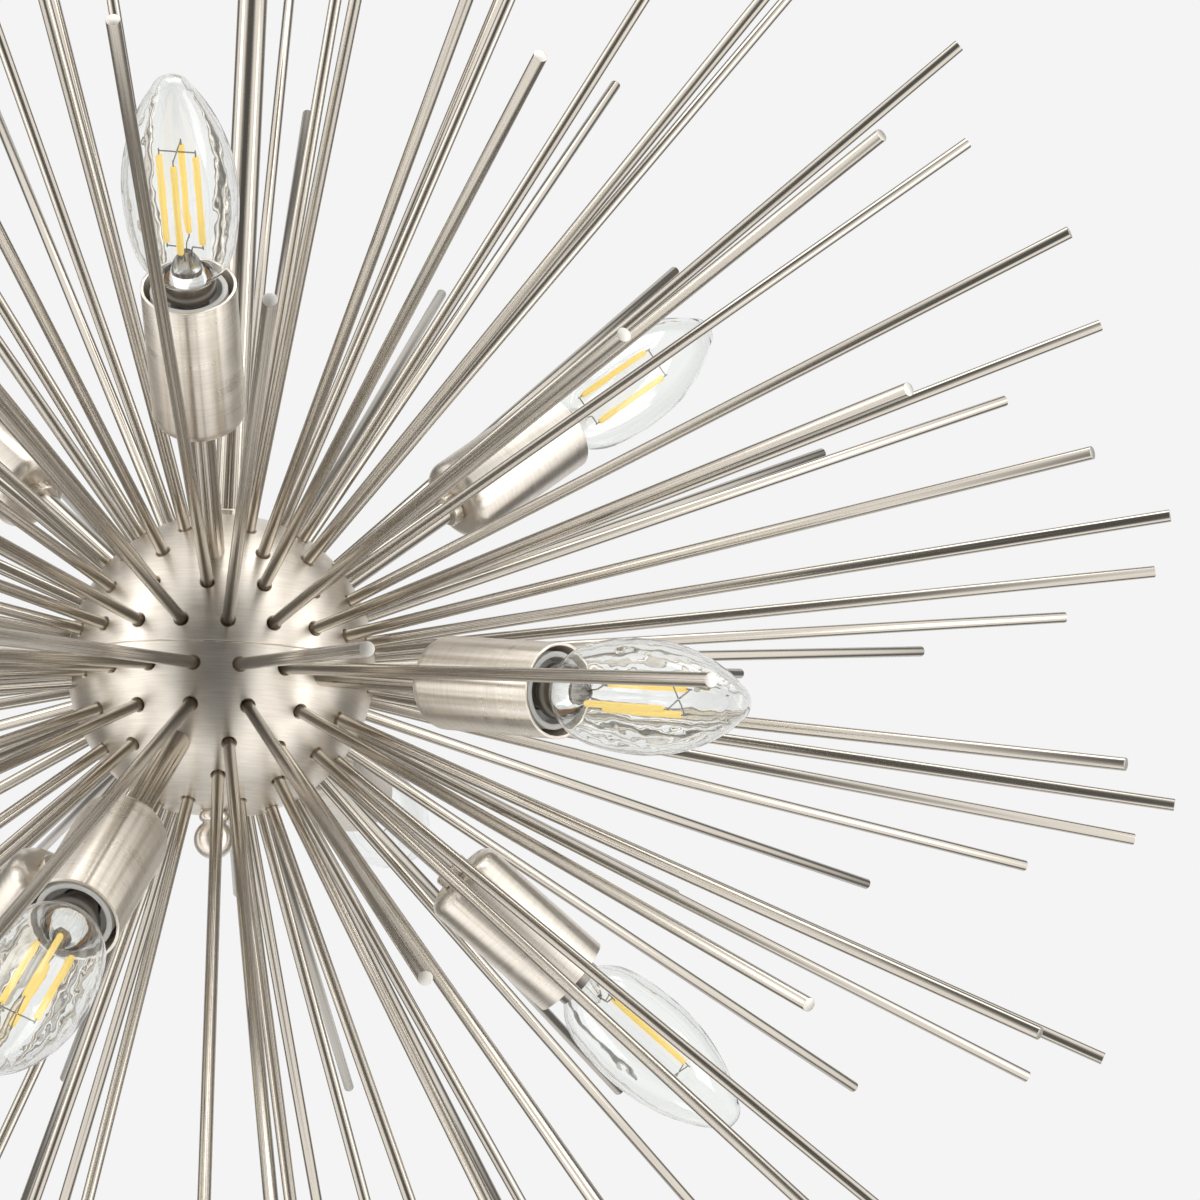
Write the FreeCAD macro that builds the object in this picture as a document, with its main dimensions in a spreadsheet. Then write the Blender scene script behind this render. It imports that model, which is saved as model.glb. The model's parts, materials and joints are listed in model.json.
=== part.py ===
"""Sputnik chandelier: nine candle lamps and a burst of straight rods on a two-part hub.

Millimetres, +Z up.  The origin lies on the ceiling, midway between the slots of the
mounting crossbar, and everything hangs below it on one straight stem.  The hub is a hollow
ball in two halves with the same drilled pattern: five rings of radial holes each.  The
lower half is the upper one turned over and twisted round the stem.
"""
import FreeCAD, Part
import math
import os
import Sketcher

Vector = FreeCAD.Vector
Rotation = FreeCAD.Rotation
Placement = FreeCAD.Placement

# Driving sizes: (name, value, what it is).  Millimetres, degrees and plain counts.
SIZES = [
    ("running_gap", 0.05, "radial gap of pieces that turn in one another"),
    ("fitted_gap", 0.03, "radial gap of pieces that are screwed or pushed together"),
    ("face_gap", 0.05, "gap between faces that turn against each other"),
    ("wire_bore", 5.5, "bore of every tube that the wires run through"),
    # ceiling plate and canopy
    ("crossbar_length", 100.0, "length of the mounting crossbar"),
    ("crossbar_width", 16.0, "width of the crossbar"),
    ("crossbar_thick", 2.4, "thickness of the crossbar"),
    ("crossbar_hole", 10.5, "diameter of the wire hole in the middle of the crossbar"),
    ("slot_spacing", 79.4, "distance between the middles of the two outlet-box slots"),
    ("slot_length", 14.0, "overall length of an outlet-box slot"),
    ("slot_width", 4.6, "width of an outlet-box slot"),
    ("stud_spacing", 50.0, "distance between the two canopy studs"),
    ("stud_diameter", 4.0, "diameter of a canopy stud"),
    ("stud_below_canopy", 7.0, "length of stud that sticks out below the canopy"),
    ("stud_hole_gap", 0.09, "radial gap between a stud and its hole in the canopy"),
    ("canopy_radius", 60.0, "outer radius of the ceiling canopy"),
    ("canopy_depth", 28.0, "depth of the canopy from the ceiling to its underside"),
    ("canopy_wall", 1.2, "sheet thickness of the canopy"),
    ("canopy_corner", 7.0, "outer radius of the canopy's lower edge"),
    ("cap_nut_radius", 6.0, "radius of the knurled nuts under the canopy"),
    ("cap_nut_height", 9.0, "height of the knurled nuts under the canopy"),
    ("cap_nut_dome", 2.0, "edge radius at the closed end of those nuts"),
    # swivel between canopy and stem
    ("nipple_diameter", 9.8, "diameter of the threaded nipple through the canopy"),
    ("nipple_above", 8.0, "length of nipple above the canopy's floor"),
    ("nipple_below", 7.0, "length of nipple inside the swivel yoke"),
    ("nipple_nut_flats", 14.0, "width across flats of the nipple's nut"),
    ("nipple_nut_height", 4.0, "height of the nipple's nut"),
    ("yoke_radius", 11.0, "radius of the swivel yoke"),
    ("yoke_head", 9.0, "height of the yoke's solid head"),
    ("yoke_ear_below_pin", 5.5, "how far the yoke's ears reach below the pivot axis"),
    ("barrel_radius", 7.5, "radius of the swivel barrel between the ears"),
    ("barrel_above_pin", 6.0, "height of the barrel above the pivot axis"),
    ("barrel_below_pin", 17.0, "height of the barrel below the pivot axis"),
    ("barrel_play", 0.3, "gap between the barrel and each ear"),
    ("pivot_diameter", 4.0, "diameter of the two pivot screws"),
    ("pivot_bite", 3.4, "length of a pivot screw inside the barrel"),
    ("pivot_head_radius", 3.3, "radius of a pivot screw's head"),
    ("pivot_head_thick", 1.8, "thickness of a pivot screw's head"),
    ("tilt_clearance", 8.4, "height of the yoke's head above the pivot axis"),
    # stem and hub
    ("stem_diameter", 10.3, "outer diameter of the down rod"),
    ("stem_length", 305.0, "length of the down rod"),
    ("stem_in_barrel", 9.0, "length of down rod screwed into the swivel barrel"),
    ("collar_diameter", 12.5, "diameter of the knurled collars"),
    ("collar_height", 4.0, "height of the knurled collars"),
    ("tie_diameter", 7.9, "diameter of the threaded tie rod and of the arms' threaded ends"),
    ("tie_in_stem", 15.0, "length of tie rod screwed into the down rod"),
    ("tie_in_finial", 7.0, "length of tie rod inside the finial ball"),
    ("tie_bore", 5.0, "bore of the tie rod"),
    ("tie_window_height", 16.0, "height of the wire window in the tie rod"),
    ("tie_window_width", 4.6, "width of the wire window in the tie rod"),
    ("hub_radius", 51.0, "outer radius of the hub"),
    ("hub_wall", 1.5, "sheet thickness of the hub"),
    ("hub_flat_radius", 16.0, "radius of the flat at each pole of the hub"),
    ("seam_chamfer", 0.3, "chamfer on each side of the hub's seam"),
    ("bead_diameter", 10.4, "diameter of the finial's bead"),
    ("bead_height", 4.2, "height of the finial's bead"),
    ("ball_radius", 6.6, "radius of the finial ball"),
    ("ball_seat_radius", 3.9, "radius of the flat where the finial ball meets its bead"),
    # hole pattern of a hub half
    ("first_latitude", 8.0, "latitude of ring 1"),
    ("latitude_step", 15.0, "latitude between one ring and the next"),
    ("arms_per_level", 3, "arms on each of the three levels"),
    ("steps_ring_one", 7, "ring 1 holes from one arm to the next"),
    ("slots_ring_two", 16, "holes of ring 2"),
    ("steps_ring_three", 5, "ring 3 holes from one arm to the next"),
    ("slots_ring_four", 9, "holes of ring 4"),
    ("slots_ring_five", 7, "holes of ring 5"),
    ("upper_zero", 0.0, "turn of the upper half's first arm from the front (-Y) towards +X"),
    ("lower_twist", 108.0, "turn of the lower half's first arm from the upper half's"),
    # rods
    ("rod_diameter", 4.0, "diameter of a rod"),
    ("rod_length", 273.0, "length of a rod"),
    ("rod_inside", 5.5, "length of rod that sticks into the hollow of the hub"),
    ("rod_hole_gap", 0.05, "radial gap between a rod and its hole"),
    ("rod_hole_chamfer", 0.6, "countersink of a rod's hole"),
    ("rod_nut_flats", 7.0, "width across flats of a rod's lock nut"),
    ("rod_nut_height", 2.2, "height of a rod's lock nut"),
    ("nut_gap", 0.3, "gap between a lock nut's corners and the hub's inside"),
    # arms, cups and lampholders; distances along an arm are from the hub's centre
    ("arm_diameter", 8.5, "outer diameter of an arm tube"),
    ("arm_reach", 55.0, "distance from the hub's surface to the back of a cup"),
    ("arm_inside", 8.5, "length of arm tube that sticks into the hollow of the hub"),
    ("arm_hole_gap", 0.05, "radial gap between an arm's threaded end and its hole"),
    ("drill_overshoot", 1.0, "how far the drill of an arm's hole reaches out of the hub"),
    ("arm_nut_flats", 11.0, "width across flats of an arm's lock nut"),
    ("arm_nut_height", 3.0, "height of an arm's lock nut"),
    ("cup_radius", 14.75, "outer radius of a cup"),
    ("cup_length", 52.0, "length of a cup"),
    ("cup_wall", 1.0, "sheet thickness of a cup"),
    ("cup_corner", 4.5, "outer radius of a cup's back edge"),
    ("holder_radius", 12.0, "outer radius of a lampholder"),
    ("holder_set_back", 1.5, "how far the lampholder's front lies behind the cup's rim"),
    ("holder_boss_radius", 8.0, "radius of the lampholder's threaded boss"),
    ("holder_boss_length", 8.0, "length of the lampholder's threaded boss"),
    ("holder_boss_step", 4.5, "distance from the boss's back to the lampholder's wide part"),
    ("holder_mouth_radius", 10.2, "radius of the recess in the lampholder's front"),
    ("holder_mouth_depth", 7.0, "depth of that recess"),
    ("holder_floor", 2.0, "thickness of the floor that carries the centre contact"),
    ("holder_wire_radius", 1.5, "radius of the wire hole in that floor"),
    # lamps
    ("screw_radius", 5.95, "radius of the lamp cap's screw"),
    ("screw_gap", 0.25, "radial gap between the cap's screw and its socket"),
    ("screw_length", 12.0, "length of the cap's screw"),
    ("cap_skin", 0.5, "thickness of the cap's sheet"),
    ("contact_radius", 2.2, "radius of the centre contact"),
    ("contact_length", 1.2, "length of the centre contact"),
    ("contact_cone", 1.8, "length of the insulator between contact and screw"),
    ("contact_gap", 0.3, "gap between the contact and the socket's floor"),
    ("skirt_radius", 8.6, "radius of the cap's skirt"),
    ("skirt_length", 5.5, "length of the cap's skirt"),
    ("skirt_flare", 1.0, "length of the cone between screw and skirt"),
    ("skirt_proud", 4.0, "how far the skirt stands out of the cup"),
    ("glass_thick", 0.8, "thickness of the lamp's glass"),
    ("neck_in_cap", 2.5, "length of glass neck inside the cap's skirt"),
    ("bulb_radius", 17.5, "largest radius of the lamp's glass"),
    ("bulb_shoulder_at", 12.0, "distance from the skirt to the end of the glass shoulder"),
    ("bulb_shoulder_radius", 15.7, "radius of the glass there"),
    ("bulb_widest_at", 30.5, "distance from the skirt to the widest place of the glass"),
    ("bulb_nose_at", 67.5, "distance from the skirt to the start of the rounded tip"),
    ("bulb_length", 71.5, "distance from the skirt to the tip of the glass"),
    ("shoulder_curve", 20.5, "curve radius of the glass shoulder"),
    ("body_curve", 96.0, "curve radius from the shoulder to the widest place"),
    ("nose_curve", 66.0, "curve radius from the widest place to the tip"),
    ("tip_curve", 6.0, "curve radius of the rounded tip"),
    ("tip_flat", 0.4, "radius of the small flat at the very tip"),
]

# Sizes that follow from the driving ones, each written as a formula of the sheet.
FOLLOWING = [
    ("canopy_floor_top", "canopy_wall - canopy_depth"),
    ("yoke_top", "-canopy_depth - face_gap"),
    ("yoke_head_bottom", "yoke_top - yoke_head"),
    ("pivot_level", "yoke_head_bottom - tilt_clearance"),
    ("ear_inner", "barrel_radius + barrel_play"),
    ("stem_top", "pivot_level - barrel_below_pin + stem_in_barrel"),
    ("stem_bottom", "stem_top - stem_length"),
    ("hub_flat_height", "sqrt(hub_radius ^ 2 - hub_flat_radius ^ 2)"),
    ("hub_inner", "hub_radius - hub_wall"),
    ("hub_inner_flat_radius", "sqrt(hub_inner ^ 2 - (hub_flat_height - hub_wall) ^ 2)"),
    ("hub_level", "stem_bottom - collar_height - hub_flat_height"),
    ("bead_top", "hub_level - hub_flat_height"),
    ("ball_top", "bead_top - bead_height"),
    ("ball_drop", "sqrt(ball_radius ^ 2 - ball_seat_radius ^ 2)"),
    ("slots_ring_one", "steps_ring_one * arms_per_level"),
    ("slots_ring_three", "steps_ring_three * arms_per_level"),
    ("arm_turn_ring_one", "(floor(steps_ring_one / 2) + 0.5) * 360 / slots_ring_one"),
    ("rod_start", "hub_inner - rod_inside"),
    ("rod_hole_radius", "rod_diameter / 2 + rod_hole_gap"),
    ("rod_nut_corner", "rod_nut_flats / (2 * cos(30))"),
    ("rod_nut_face", "sqrt(hub_inner ^ 2 - rod_nut_corner ^ 2) - nut_gap"),
    ("arm_hole_radius", "tie_diameter / 2 + arm_hole_gap"),
    ("arm_seat", "sqrt(hub_radius ^ 2 - arm_hole_radius ^ 2)"),
    ("arm_start", "hub_inner - arm_inside"),
    ("arm_nut_corner", "arm_nut_flats / (2 * cos(30))"),
    ("arm_nut_face", "sqrt(hub_inner ^ 2 - arm_nut_corner ^ 2) - nut_gap"),
    ("nipple_nut_corner", "nipple_nut_flats / (2 * cos(30))"),
    ("cup_back", "hub_radius + arm_reach"),
    ("cup_inner_corner", "cup_corner - cup_wall"),
    ("cup_rim", "cup_back + cup_length"),
    ("boss_back", "cup_back + cup_wall"),
    ("arm_end", "boss_back + holder_boss_length"),
    ("holder_front", "cup_rim - holder_set_back"),
    ("skirt_top", "cup_rim + skirt_proud"),
    ("screw_top", "skirt_top - skirt_length"),
    ("screw_bottom", "screw_top - screw_length"),
    ("cap_tip", "screw_bottom - contact_cone - contact_length"),
    ("socket_floor", "cap_tip - contact_gap"),
    ("socket_radius", "screw_radius + screw_gap"),
    ("neck_radius", "skirt_radius - cap_skin - fitted_gap"),
    ("neck_bottom", "skirt_top - neck_in_cap"),
    ("nose_radius", "bulb_radius - nose_curve + sqrt(nose_curve ^ 2 - (bulb_nose_at - bulb_widest_at) ^ 2)"),
]

RINGS = ("one", "two", "three", "four", "five")
doc = FreeCAD.newDocument("sputnik_chandelier")


def make_sheet():
    """The spreadsheet: one row per size, its name as the cell's alias."""
    sheet = doc.addObject("Spreadsheet::Sheet", "Sizes")
    for row, (alias, value, meaning) in enumerate(SIZES, start=1):
        sheet.set("A%d" % row, str(value))
        sheet.set("B%d" % row, meaning)
        sheet.setAlias("A%d" % row, alias)
    first = len(SIZES) + 1
    for row, (alias, formula) in enumerate(FOLLOWING, start=first):
        sheet.set("A%d" % row, "=" + formula)
        sheet.setAlias("A%d" % row, alias)
    doc.recompute()
    return sheet


sheet = make_sheet()
NAMES = {entry[0] for entry in SIZES + FOLLOWING}


def of_sheet(expression):
    """The expression with every size's name turned into its cell in the sheet."""
    words = []
    word = ""
    for letter in expression + " ":
        if letter.isalnum() or letter == "_":
            word += letter
            continue
        words.append("Sizes." + word if word in NAMES else word)
        words.append(letter)
        word = ""
    return "".join(words).strip()


def value_of(expression):
    """The number that an expression of sizes gives now."""
    result = sheet.evalExpression(of_sheet(expression))
    return float(getattr(result, "Value", result))


def bind(item, target, expression):
    """Tie one property of an object to an expression of sizes."""
    item.setExpression(target, of_sheet(expression))


def vector(x, y, z):
    return "vector(%s; %s; %s)" % (x, y, z)


def turn(axis, angle):
    """Rotation about one of the main axes, as an expression."""
    axes = {"X": (1, 0, 0), "Y": (0, 1, 0), "Z": (0, 0, 1)}
    return "rotation(%s; %s)" % (vector(*axes[axis]), angle)


def placed(base, rotation):
    return "placement(%s; %s)" % (base, rotation)


def plane_of(body, role):
    return next(item for item in body.Origin.OriginFeatures if item.Role == role)


def new_body(name, placement=None):
    """A body whose label is the node's name."""
    body = doc.addObject("PartDesign::Body", name)
    body.Label = name
    body.AllowCompound = True
    if placement:
        bind(body, "Placement", placement)
    return body


def arc_centre(start, end, radius, bulge):
    """Centre of the arc from start to end; bulge 1 lies right of the way, -1 left of it."""
    middle = (start + end) * 0.5
    along = end - start
    half = along.Length / 2
    away = Vector(-along.y, along.x, 0).normalize()
    return middle + away * bulge * math.sqrt(max(radius ** 2 - half ** 2, 0.0))


def draw_outline(sketch, steps):
    """Closed outline through the steps, each tied to the sheet.

    A step is (x, y) for a straight edge from it to the next step, or (x, y, radius, bulge)
    for an arc from it to the next one.
    """
    points = [Vector(value_of(step[0]), value_of(step[1]), 0) for step in steps]
    edges = []
    for index, step in enumerate(steps):
        start = points[index]
        end = points[(index + 1) % len(steps)]
        if len(step) == 2:
            edges.append((sketch.addGeometry(Part.LineSegment(start, end), False), 1, 2))
            continue
        radius = value_of(step[2])
        centre = arc_centre(start, end, radius, step[3])
        circle = Part.Circle(centre, Vector(0, 0, 1), radius)
        from_angle = math.atan2(start.y - centre.y, start.x - centre.x)
        to_angle = math.atan2(end.y - centre.y, end.x - centre.x)
        forward = step[3] > 0
        if forward:
            arc = Part.ArcOfCircle(circle, from_angle, to_angle)
        else:
            arc = Part.ArcOfCircle(circle, to_angle, from_angle)
        number = sketch.addGeometry(arc, False)
        edges.append((number, 1, 2) if forward else (number, 2, 1))
        tied = sketch.addConstraint(Sketcher.Constraint("Radius", number, radius))
        bind(sketch, "Constraints[%d]" % tied, step[2])
    for index, step in enumerate(steps):
        edge, start, _ = edges[index]
        before, _, end = edges[index - 1]
        sketch.addConstraint(Sketcher.Constraint("Coincident", before, end, edge, start))
        for kind, text in (("DistanceX", step[0]), ("DistanceY", step[1])):
            number = sketch.addConstraint(
                Sketcher.Constraint(kind, -1, 1, edge, start, value_of(text)))
            bind(sketch, "Constraints[%d]" % number, text)


def new_sketch(body, name, role):
    sketch = body.newObject("Sketcher::SketchObject", name)
    sketch.AttachmentSupport = [(plane_of(body, role), "")]
    sketch.MapMode = "FlatFace"
    return sketch


def revolve(body, steps, latitude=None, name="Turned"):
    """Turn an outline of (radius, height) steps round the body's Z axis.

    With a latitude the axis leans over: it points that many degrees above the body's +X
    direction, and heights are distances along it.
    """
    sketch = new_sketch(body, name + "_outline_" + body.Name, "XZ_Plane")
    if latitude:
        sketch.AttachmentOffset = Placement(Vector(), Rotation(Vector(0, 0, 1), -1))
        bind(sketch, "AttachmentOffset.Rotation.Angle", latitude + " - 90")
    doc.recompute()
    draw_outline(sketch, steps)
    feature = body.newObject("PartDesign::Revolution", name + "_" + body.Name)
    feature.Profile = sketch
    feature.ReferenceAxis = (sketch, ["V_Axis"])
    feature.Angle = 360
    body.Tip = feature
    doc.recompute()
    return feature


def pin(body, kind, name, start, length, placement=None, **sizes):
    """Cylinder, cone or prism added to or taken from a body, along the body's Z axis.

    It starts at height start, unless placement says where it lies instead.
    """
    feature = body.newObject("PartDesign::" + kind, name + "_" + body.Name)
    if kind.endswith("Prism"):
        feature.Polygon = 6
    for target, expression in sizes.items():
        bind(feature, target, expression)
    bind(feature, "Height", length)
    bind(feature, "Placement", placement or placed(vector(0, 0, start), turn("Z", 0)))
    body.Tip = feature
    doc.recompute()
    return feature


def radial(start, latitude, azimuth="0"):
    """Placement of a feature that starts on a radius of the hub and points outwards."""
    leaning = turn("Z", azimuth) + " * " + turn("Y", "90 - (%s)" % latitude)
    return placed(leaning + " * " + vector(0, 0, start), leaning)


def round_pattern(body, features, count, angle="360"):
    """Copies of the features round the body's Z axis."""
    pattern = body.newObject("PartDesign::PolarPattern", "Ring_" + features[0].Name)
    pattern.Originals = features
    pattern.Axis = (plane_of(body, "Z_Axis"), [""])
    bind(pattern, "Angle", angle)
    bind(pattern, "Occurrences", count)
    body.Tip = pattern
    doc.recompute()
    return pattern


def pattern_between_arms(body, features, steps):
    """Copies on every hole of a ring but the arms' ones, which lie steps holes apart."""
    whole = body.newObject("PartDesign::MultiTransform", "Ring_" + features[0].Name)
    gap = body.newObject("PartDesign::PolarPattern", "Gap_" + features[0].Name)
    turns = body.newObject("PartDesign::PolarPattern", "Turns_" + features[0].Name)
    for pattern in (gap, turns):
        pattern.Axis = (plane_of(body, "Z_Axis"), [""])
    bind(gap, "Angle", "360 / (arms_per_level * %s) * (%s - 2)" % (steps, steps))
    bind(gap, "Occurrences", steps + " - 1")
    turns.Angle = 360
    bind(turns, "Occurrences", "arms_per_level")
    whole.Originals = features
    whole.Transformations = [gap, turns]
    body.Tip = whole
    doc.recompute()
    return whole


def mirror_pair(body, features, role):
    """The same features again on the other side of one of the body's planes."""
    pair = body.newObject("PartDesign::Mirrored", "Pair_" + features[0].Name)
    pair.Originals = features
    pair.MirrorPlane = (plane_of(body, role), [""])
    body.Tip = pair
    doc.recompute()
    return pair


# ---------------------------------------------------------------- ceiling plate and canopy

def make_crossbar():
    """Flat bar with rounded ends, two long slots, two tapped holes and a wire hole."""
    body = new_body("mounting_crossbar", placed(vector(0, 0, "-crossbar_thick"), turn("Z", 0)))
    bar = body.newObject("PartDesign::AdditiveBox", "Bar")
    bind(bar, "Length", "crossbar_length - crossbar_width")
    bind(bar, "Width", "crossbar_width")
    bind(bar, "Height", "crossbar_thick")
    corner = vector("(crossbar_width - crossbar_length) / 2", "-crossbar_width / 2", 0)
    bind(bar, "Placement", placed(corner, turn("Z", 0)))
    doc.recompute()
    end = pin(body, "AdditiveCylinder", "End", 0, "crossbar_thick", Radius="crossbar_width / 2",
              placement=placed(vector("(crossbar_length - crossbar_width) / 2", 0, 0), turn("Z", 0)))
    mirror_pair(body, [end], "YZ_Plane")
    slot = body.newObject("PartDesign::SubtractiveBox", "Slot")
    bind(slot, "Length", "slot_length - slot_width")
    bind(slot, "Width", "slot_width")
    bind(slot, "Height", "crossbar_thick")
    corner = vector("(slot_spacing - slot_length + slot_width) / 2", "-slot_width / 2", 0)
    bind(slot, "Placement", placed(corner, turn("Z", 0)))
    cuts = [slot]
    for name, sign in (("Slot_outer", "+"), ("Slot_inner", "-")):
        centre = "(slot_spacing %s (slot_length - slot_width)) / 2" % sign
        cuts.append(pin(body, "SubtractiveCylinder", name, 0, "crossbar_thick",
                        Radius="slot_width / 2",
                        placement=placed(vector(centre, 0, 0), turn("Z", 0))))
    cuts.append(pin(body, "SubtractiveCylinder", "Stud_hole", 0, "crossbar_thick",
                    Radius="stud_diameter / 2 + fitted_gap",
                    placement=placed(vector("stud_spacing / 2", 0, 0), turn("Z", 0))))
    mirror_pair(body, cuts, "YZ_Plane")
    pin(body, "SubtractiveCylinder", "Wire_hole", 0, "crossbar_thick", Radius="crossbar_hole / 2")
    return body


def make_canopy_studs():
    """Two threaded studs from the crossbar down through the canopy."""
    body = new_body("canopy_studs")
    low = "-canopy_depth - stud_below_canopy"
    stud = pin(body, "AdditiveCylinder", "Stud", 0, "canopy_depth + stud_below_canopy",
               Radius="stud_diameter / 2",
               placement=placed(vector("stud_spacing / 2", 0, low), turn("Z", 0)))
    mirror_pair(body, [stud], "YZ_Plane")
    return body


def make_canopy():
    """Shallow spun dish, open at the ceiling, with a nipple hole and two stud holes."""
    body = new_body("ceiling_canopy", placed(vector(0, 0, "-canopy_depth"), turn("Z", 0)))
    hole = "nipple_diameter / 2 + fitted_gap"
    inner_corner = "canopy_corner - canopy_wall"
    revolve(body, [
        (hole, "0"),
        ("canopy_radius - canopy_corner", "0", "canopy_corner", 1),
        ("canopy_radius", "canopy_corner"),
        ("canopy_radius", "canopy_depth"),
        ("canopy_radius - canopy_wall", "canopy_depth"),
        ("canopy_radius - canopy_wall", "canopy_corner", inner_corner, -1),
        ("canopy_radius - canopy_corner", "canopy_wall"),
        (hole, "canopy_wall"),
    ])
    stud_hole = pin(body, "SubtractiveCylinder", "Stud_hole", 0, "canopy_wall",
                    Radius="stud_diameter / 2 + stud_hole_gap",
                    placement=placed(vector("stud_spacing / 2", 0, 0), turn("Z", 0)))
    mirror_pair(body, [stud_hole], "YZ_Plane")
    return body


def make_cap_nut(side, sign):
    """Blind round nut that holds the canopy up on one stud."""
    lowest = "-canopy_depth - face_gap - cap_nut_height"
    body = new_body("canopy_cap_nut_" + side,
                    placed(vector("%s stud_spacing / 2" % sign, 0, lowest), turn("Z", 0)))
    thread = "stud_diameter / 2 + running_gap"
    blind = "cap_nut_height - stud_below_canopy + face_gap - running_gap"
    revolve(body, [
        ("0", "0"),
        ("cap_nut_radius - cap_nut_dome", "0", "cap_nut_dome", 1),
        ("cap_nut_radius", "cap_nut_dome"),
        ("cap_nut_radius", "cap_nut_height"),
        (thread, "cap_nut_height"),
        (thread, blind),
        ("0", blind),
    ])
    return body


# ---------------------------------------------------------------- swivel and stem

def make_nipple():
    """Threaded tube that carries the swivel under the canopy."""
    body = new_body("swivel_nipple", placed(vector(0, 0, "yoke_top - nipple_below"), turn("Z", 0)))
    length = "nipple_below + canopy_floor_top - yoke_top + nipple_above"
    pin(body, "AdditiveCylinder", "Tube", 0, length, Radius="nipple_diameter / 2")
    pin(body, "SubtractiveCylinder", "Bore", 0, length, Radius="wire_bore / 2")
    return body


def make_nipple_nut():
    """Hexagon nut on the canopy's floor."""
    body = new_body("swivel_nipple_nut", placed(vector(0, 0, "canopy_floor_top"), turn("Z", 0)))
    pin(body, "AdditivePrism", "Hexagon", 0, "nipple_nut_height",
        Circumradius="nipple_nut_corner")
    pin(body, "SubtractiveCylinder", "Thread", 0, "nipple_nut_height",
        Radius="nipple_diameter / 2 + fitted_gap")
    return body


def make_yoke():
    """Round head on the nipple with two ears that hold the pivot screws."""
    ear_height = "tilt_clearance + yoke_ear_below_pin"
    body = new_body("swivel_yoke",
                    placed(vector(0, 0, "pivot_level - yoke_ear_below_pin"), turn("Z", 0)))
    pin(body, "AdditiveCylinder", "Round", 0, "yoke_head + " + ear_height, Radius="yoke_radius")
    gap = body.newObject("PartDesign::SubtractiveBox", "Between_ears")
    bind(gap, "Length", "2 * yoke_radius")
    bind(gap, "Width", "2 * ear_inner")
    bind(gap, "Height", ear_height)
    bind(gap, "Placement", placed(vector("-yoke_radius", "-ear_inner", 0), turn("Z", 0)))
    body.Tip = gap
    doc.recompute()
    pin(body, "SubtractiveCylinder", "Nipple_hole", ear_height, "yoke_head",
        Radius="nipple_diameter / 2 + running_gap")
    across = placed(vector(0, "yoke_radius", "yoke_ear_below_pin"), turn("X", 90))
    pin(body, "SubtractiveCylinder", "Pivot_holes", 0, "2 * yoke_radius", placement=across,
        Radius="pivot_diameter / 2 + fitted_gap")
    return body


def make_pivot_screws():
    """Two short shoulder screws, one from each side, that leave the middle free for wires."""
    body = new_body("swivel_pivot_screws", placed(vector(0, 0, "pivot_level"), turn("X", -90)))
    shank_start = "barrel_radius - pivot_bite"
    shank = pin(body, "AdditiveCylinder", "Shank", shank_start,
                "yoke_radius - (%s)" % shank_start, Radius="pivot_diameter / 2")
    head = pin(body, "AdditiveCylinder", "Head", "yoke_radius", "pivot_head_thick",
               Radius="pivot_head_radius")
    mirror_pair(body, [shank, head], "XY_Plane")
    return body


def make_barrel():
    """Tube that rocks between the ears and holds the top of the down rod."""
    body = new_body("swivel_barrel",
                    placed(vector(0, 0, "pivot_level - barrel_below_pin"), turn("Z", 0)))
    stem_hole = "stem_diameter / 2 + fitted_gap"
    height = "barrel_below_pin + barrel_above_pin"
    revolve(body, [
        (stem_hole, "0"),
        ("barrel_radius", "0"),
        ("barrel_radius", height),
        ("wire_bore / 2", height),
        ("wire_bore / 2", "stem_in_barrel"),
        (stem_hole, "stem_in_barrel"),
    ])
    depth = "pivot_bite + running_gap"
    side = placed(vector(0, "barrel_radius - (%s)" % depth, "barrel_below_pin"), turn("X", -90))
    hole = pin(body, "SubtractiveCylinder", "Pivot_hole", 0, depth, placement=side,
               Radius="pivot_diameter / 2 + running_gap")
    mirror_pair(body, [hole], "XZ_Plane")
    return body


def make_stem():
    """Straight down rod; its lower end takes the hub's tie rod."""
    body = new_body("stem", placed(vector(0, 0, "stem_bottom"), turn("Z", 0)))
    tie_hole = "tie_diameter / 2 + fitted_gap"
    revolve(body, [
        (tie_hole, "0"),
        ("stem_diameter / 2", "0"),
        ("stem_diameter / 2", "stem_length"),
        ("wire_bore / 2", "stem_length"),
        ("wire_bore / 2", "tie_in_stem"),
        (tie_hole, "tie_in_stem"),
    ])
    return body


def make_stem_collar():
    """Knurled collar between the down rod and the hub."""
    body = new_body("stem_collar", placed(vector(0, 0, "stem_bottom - collar_height"), turn("Z", 0)))
    pin(body, "AdditiveCylinder", "Ring", 0, "collar_height", Radius="collar_diameter / 2")
    pin(body, "SubtractiveCylinder", "Thread", 0, "collar_height",
        Radius="tie_diameter / 2 + fitted_gap")
    return body


# ---------------------------------------------------------------- hub

def half_turn(half, extra="0"):
    """Rotation of a hub half: its own +Z points away from the seam, +X to its first arm."""
    if half == "upper":
        return turn("Z", "upper_zero - 90 + (%s)" % extra)
    over = turn("Z", "upper_zero + lower_twist - 90") + " * " + turn("X", 180)
    return over + " * " + turn("Z", extra)


def half_frame(half, extra="0"):
    """Placement of a hub half at the hub's centre."""
    return placed(vector(0, 0, "hub_level"), half_turn(half, extra))


def latitude_of(ring):
    return "(first_latitude + %d * latitude_step)" % RINGS.index(ring)


def half_step(ring):
    """Rings one, four and five start half a hole away from the first arm."""
    return "0" if ring in ("two", "three") else "180 / slots_ring_%s" % ring


def cut_from(name, blank, tools):
    """The blank with the tools taken away, as the piece called name."""
    drills = doc.addObject("Part::Compound", "Drills_of_" + name)
    drills.Links = tools
    piece = doc.addObject("Part::Cut", name)
    piece.Label = name
    piece.Base = blank
    piece.Tool = drills
    doc.recompute()
    return piece


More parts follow.
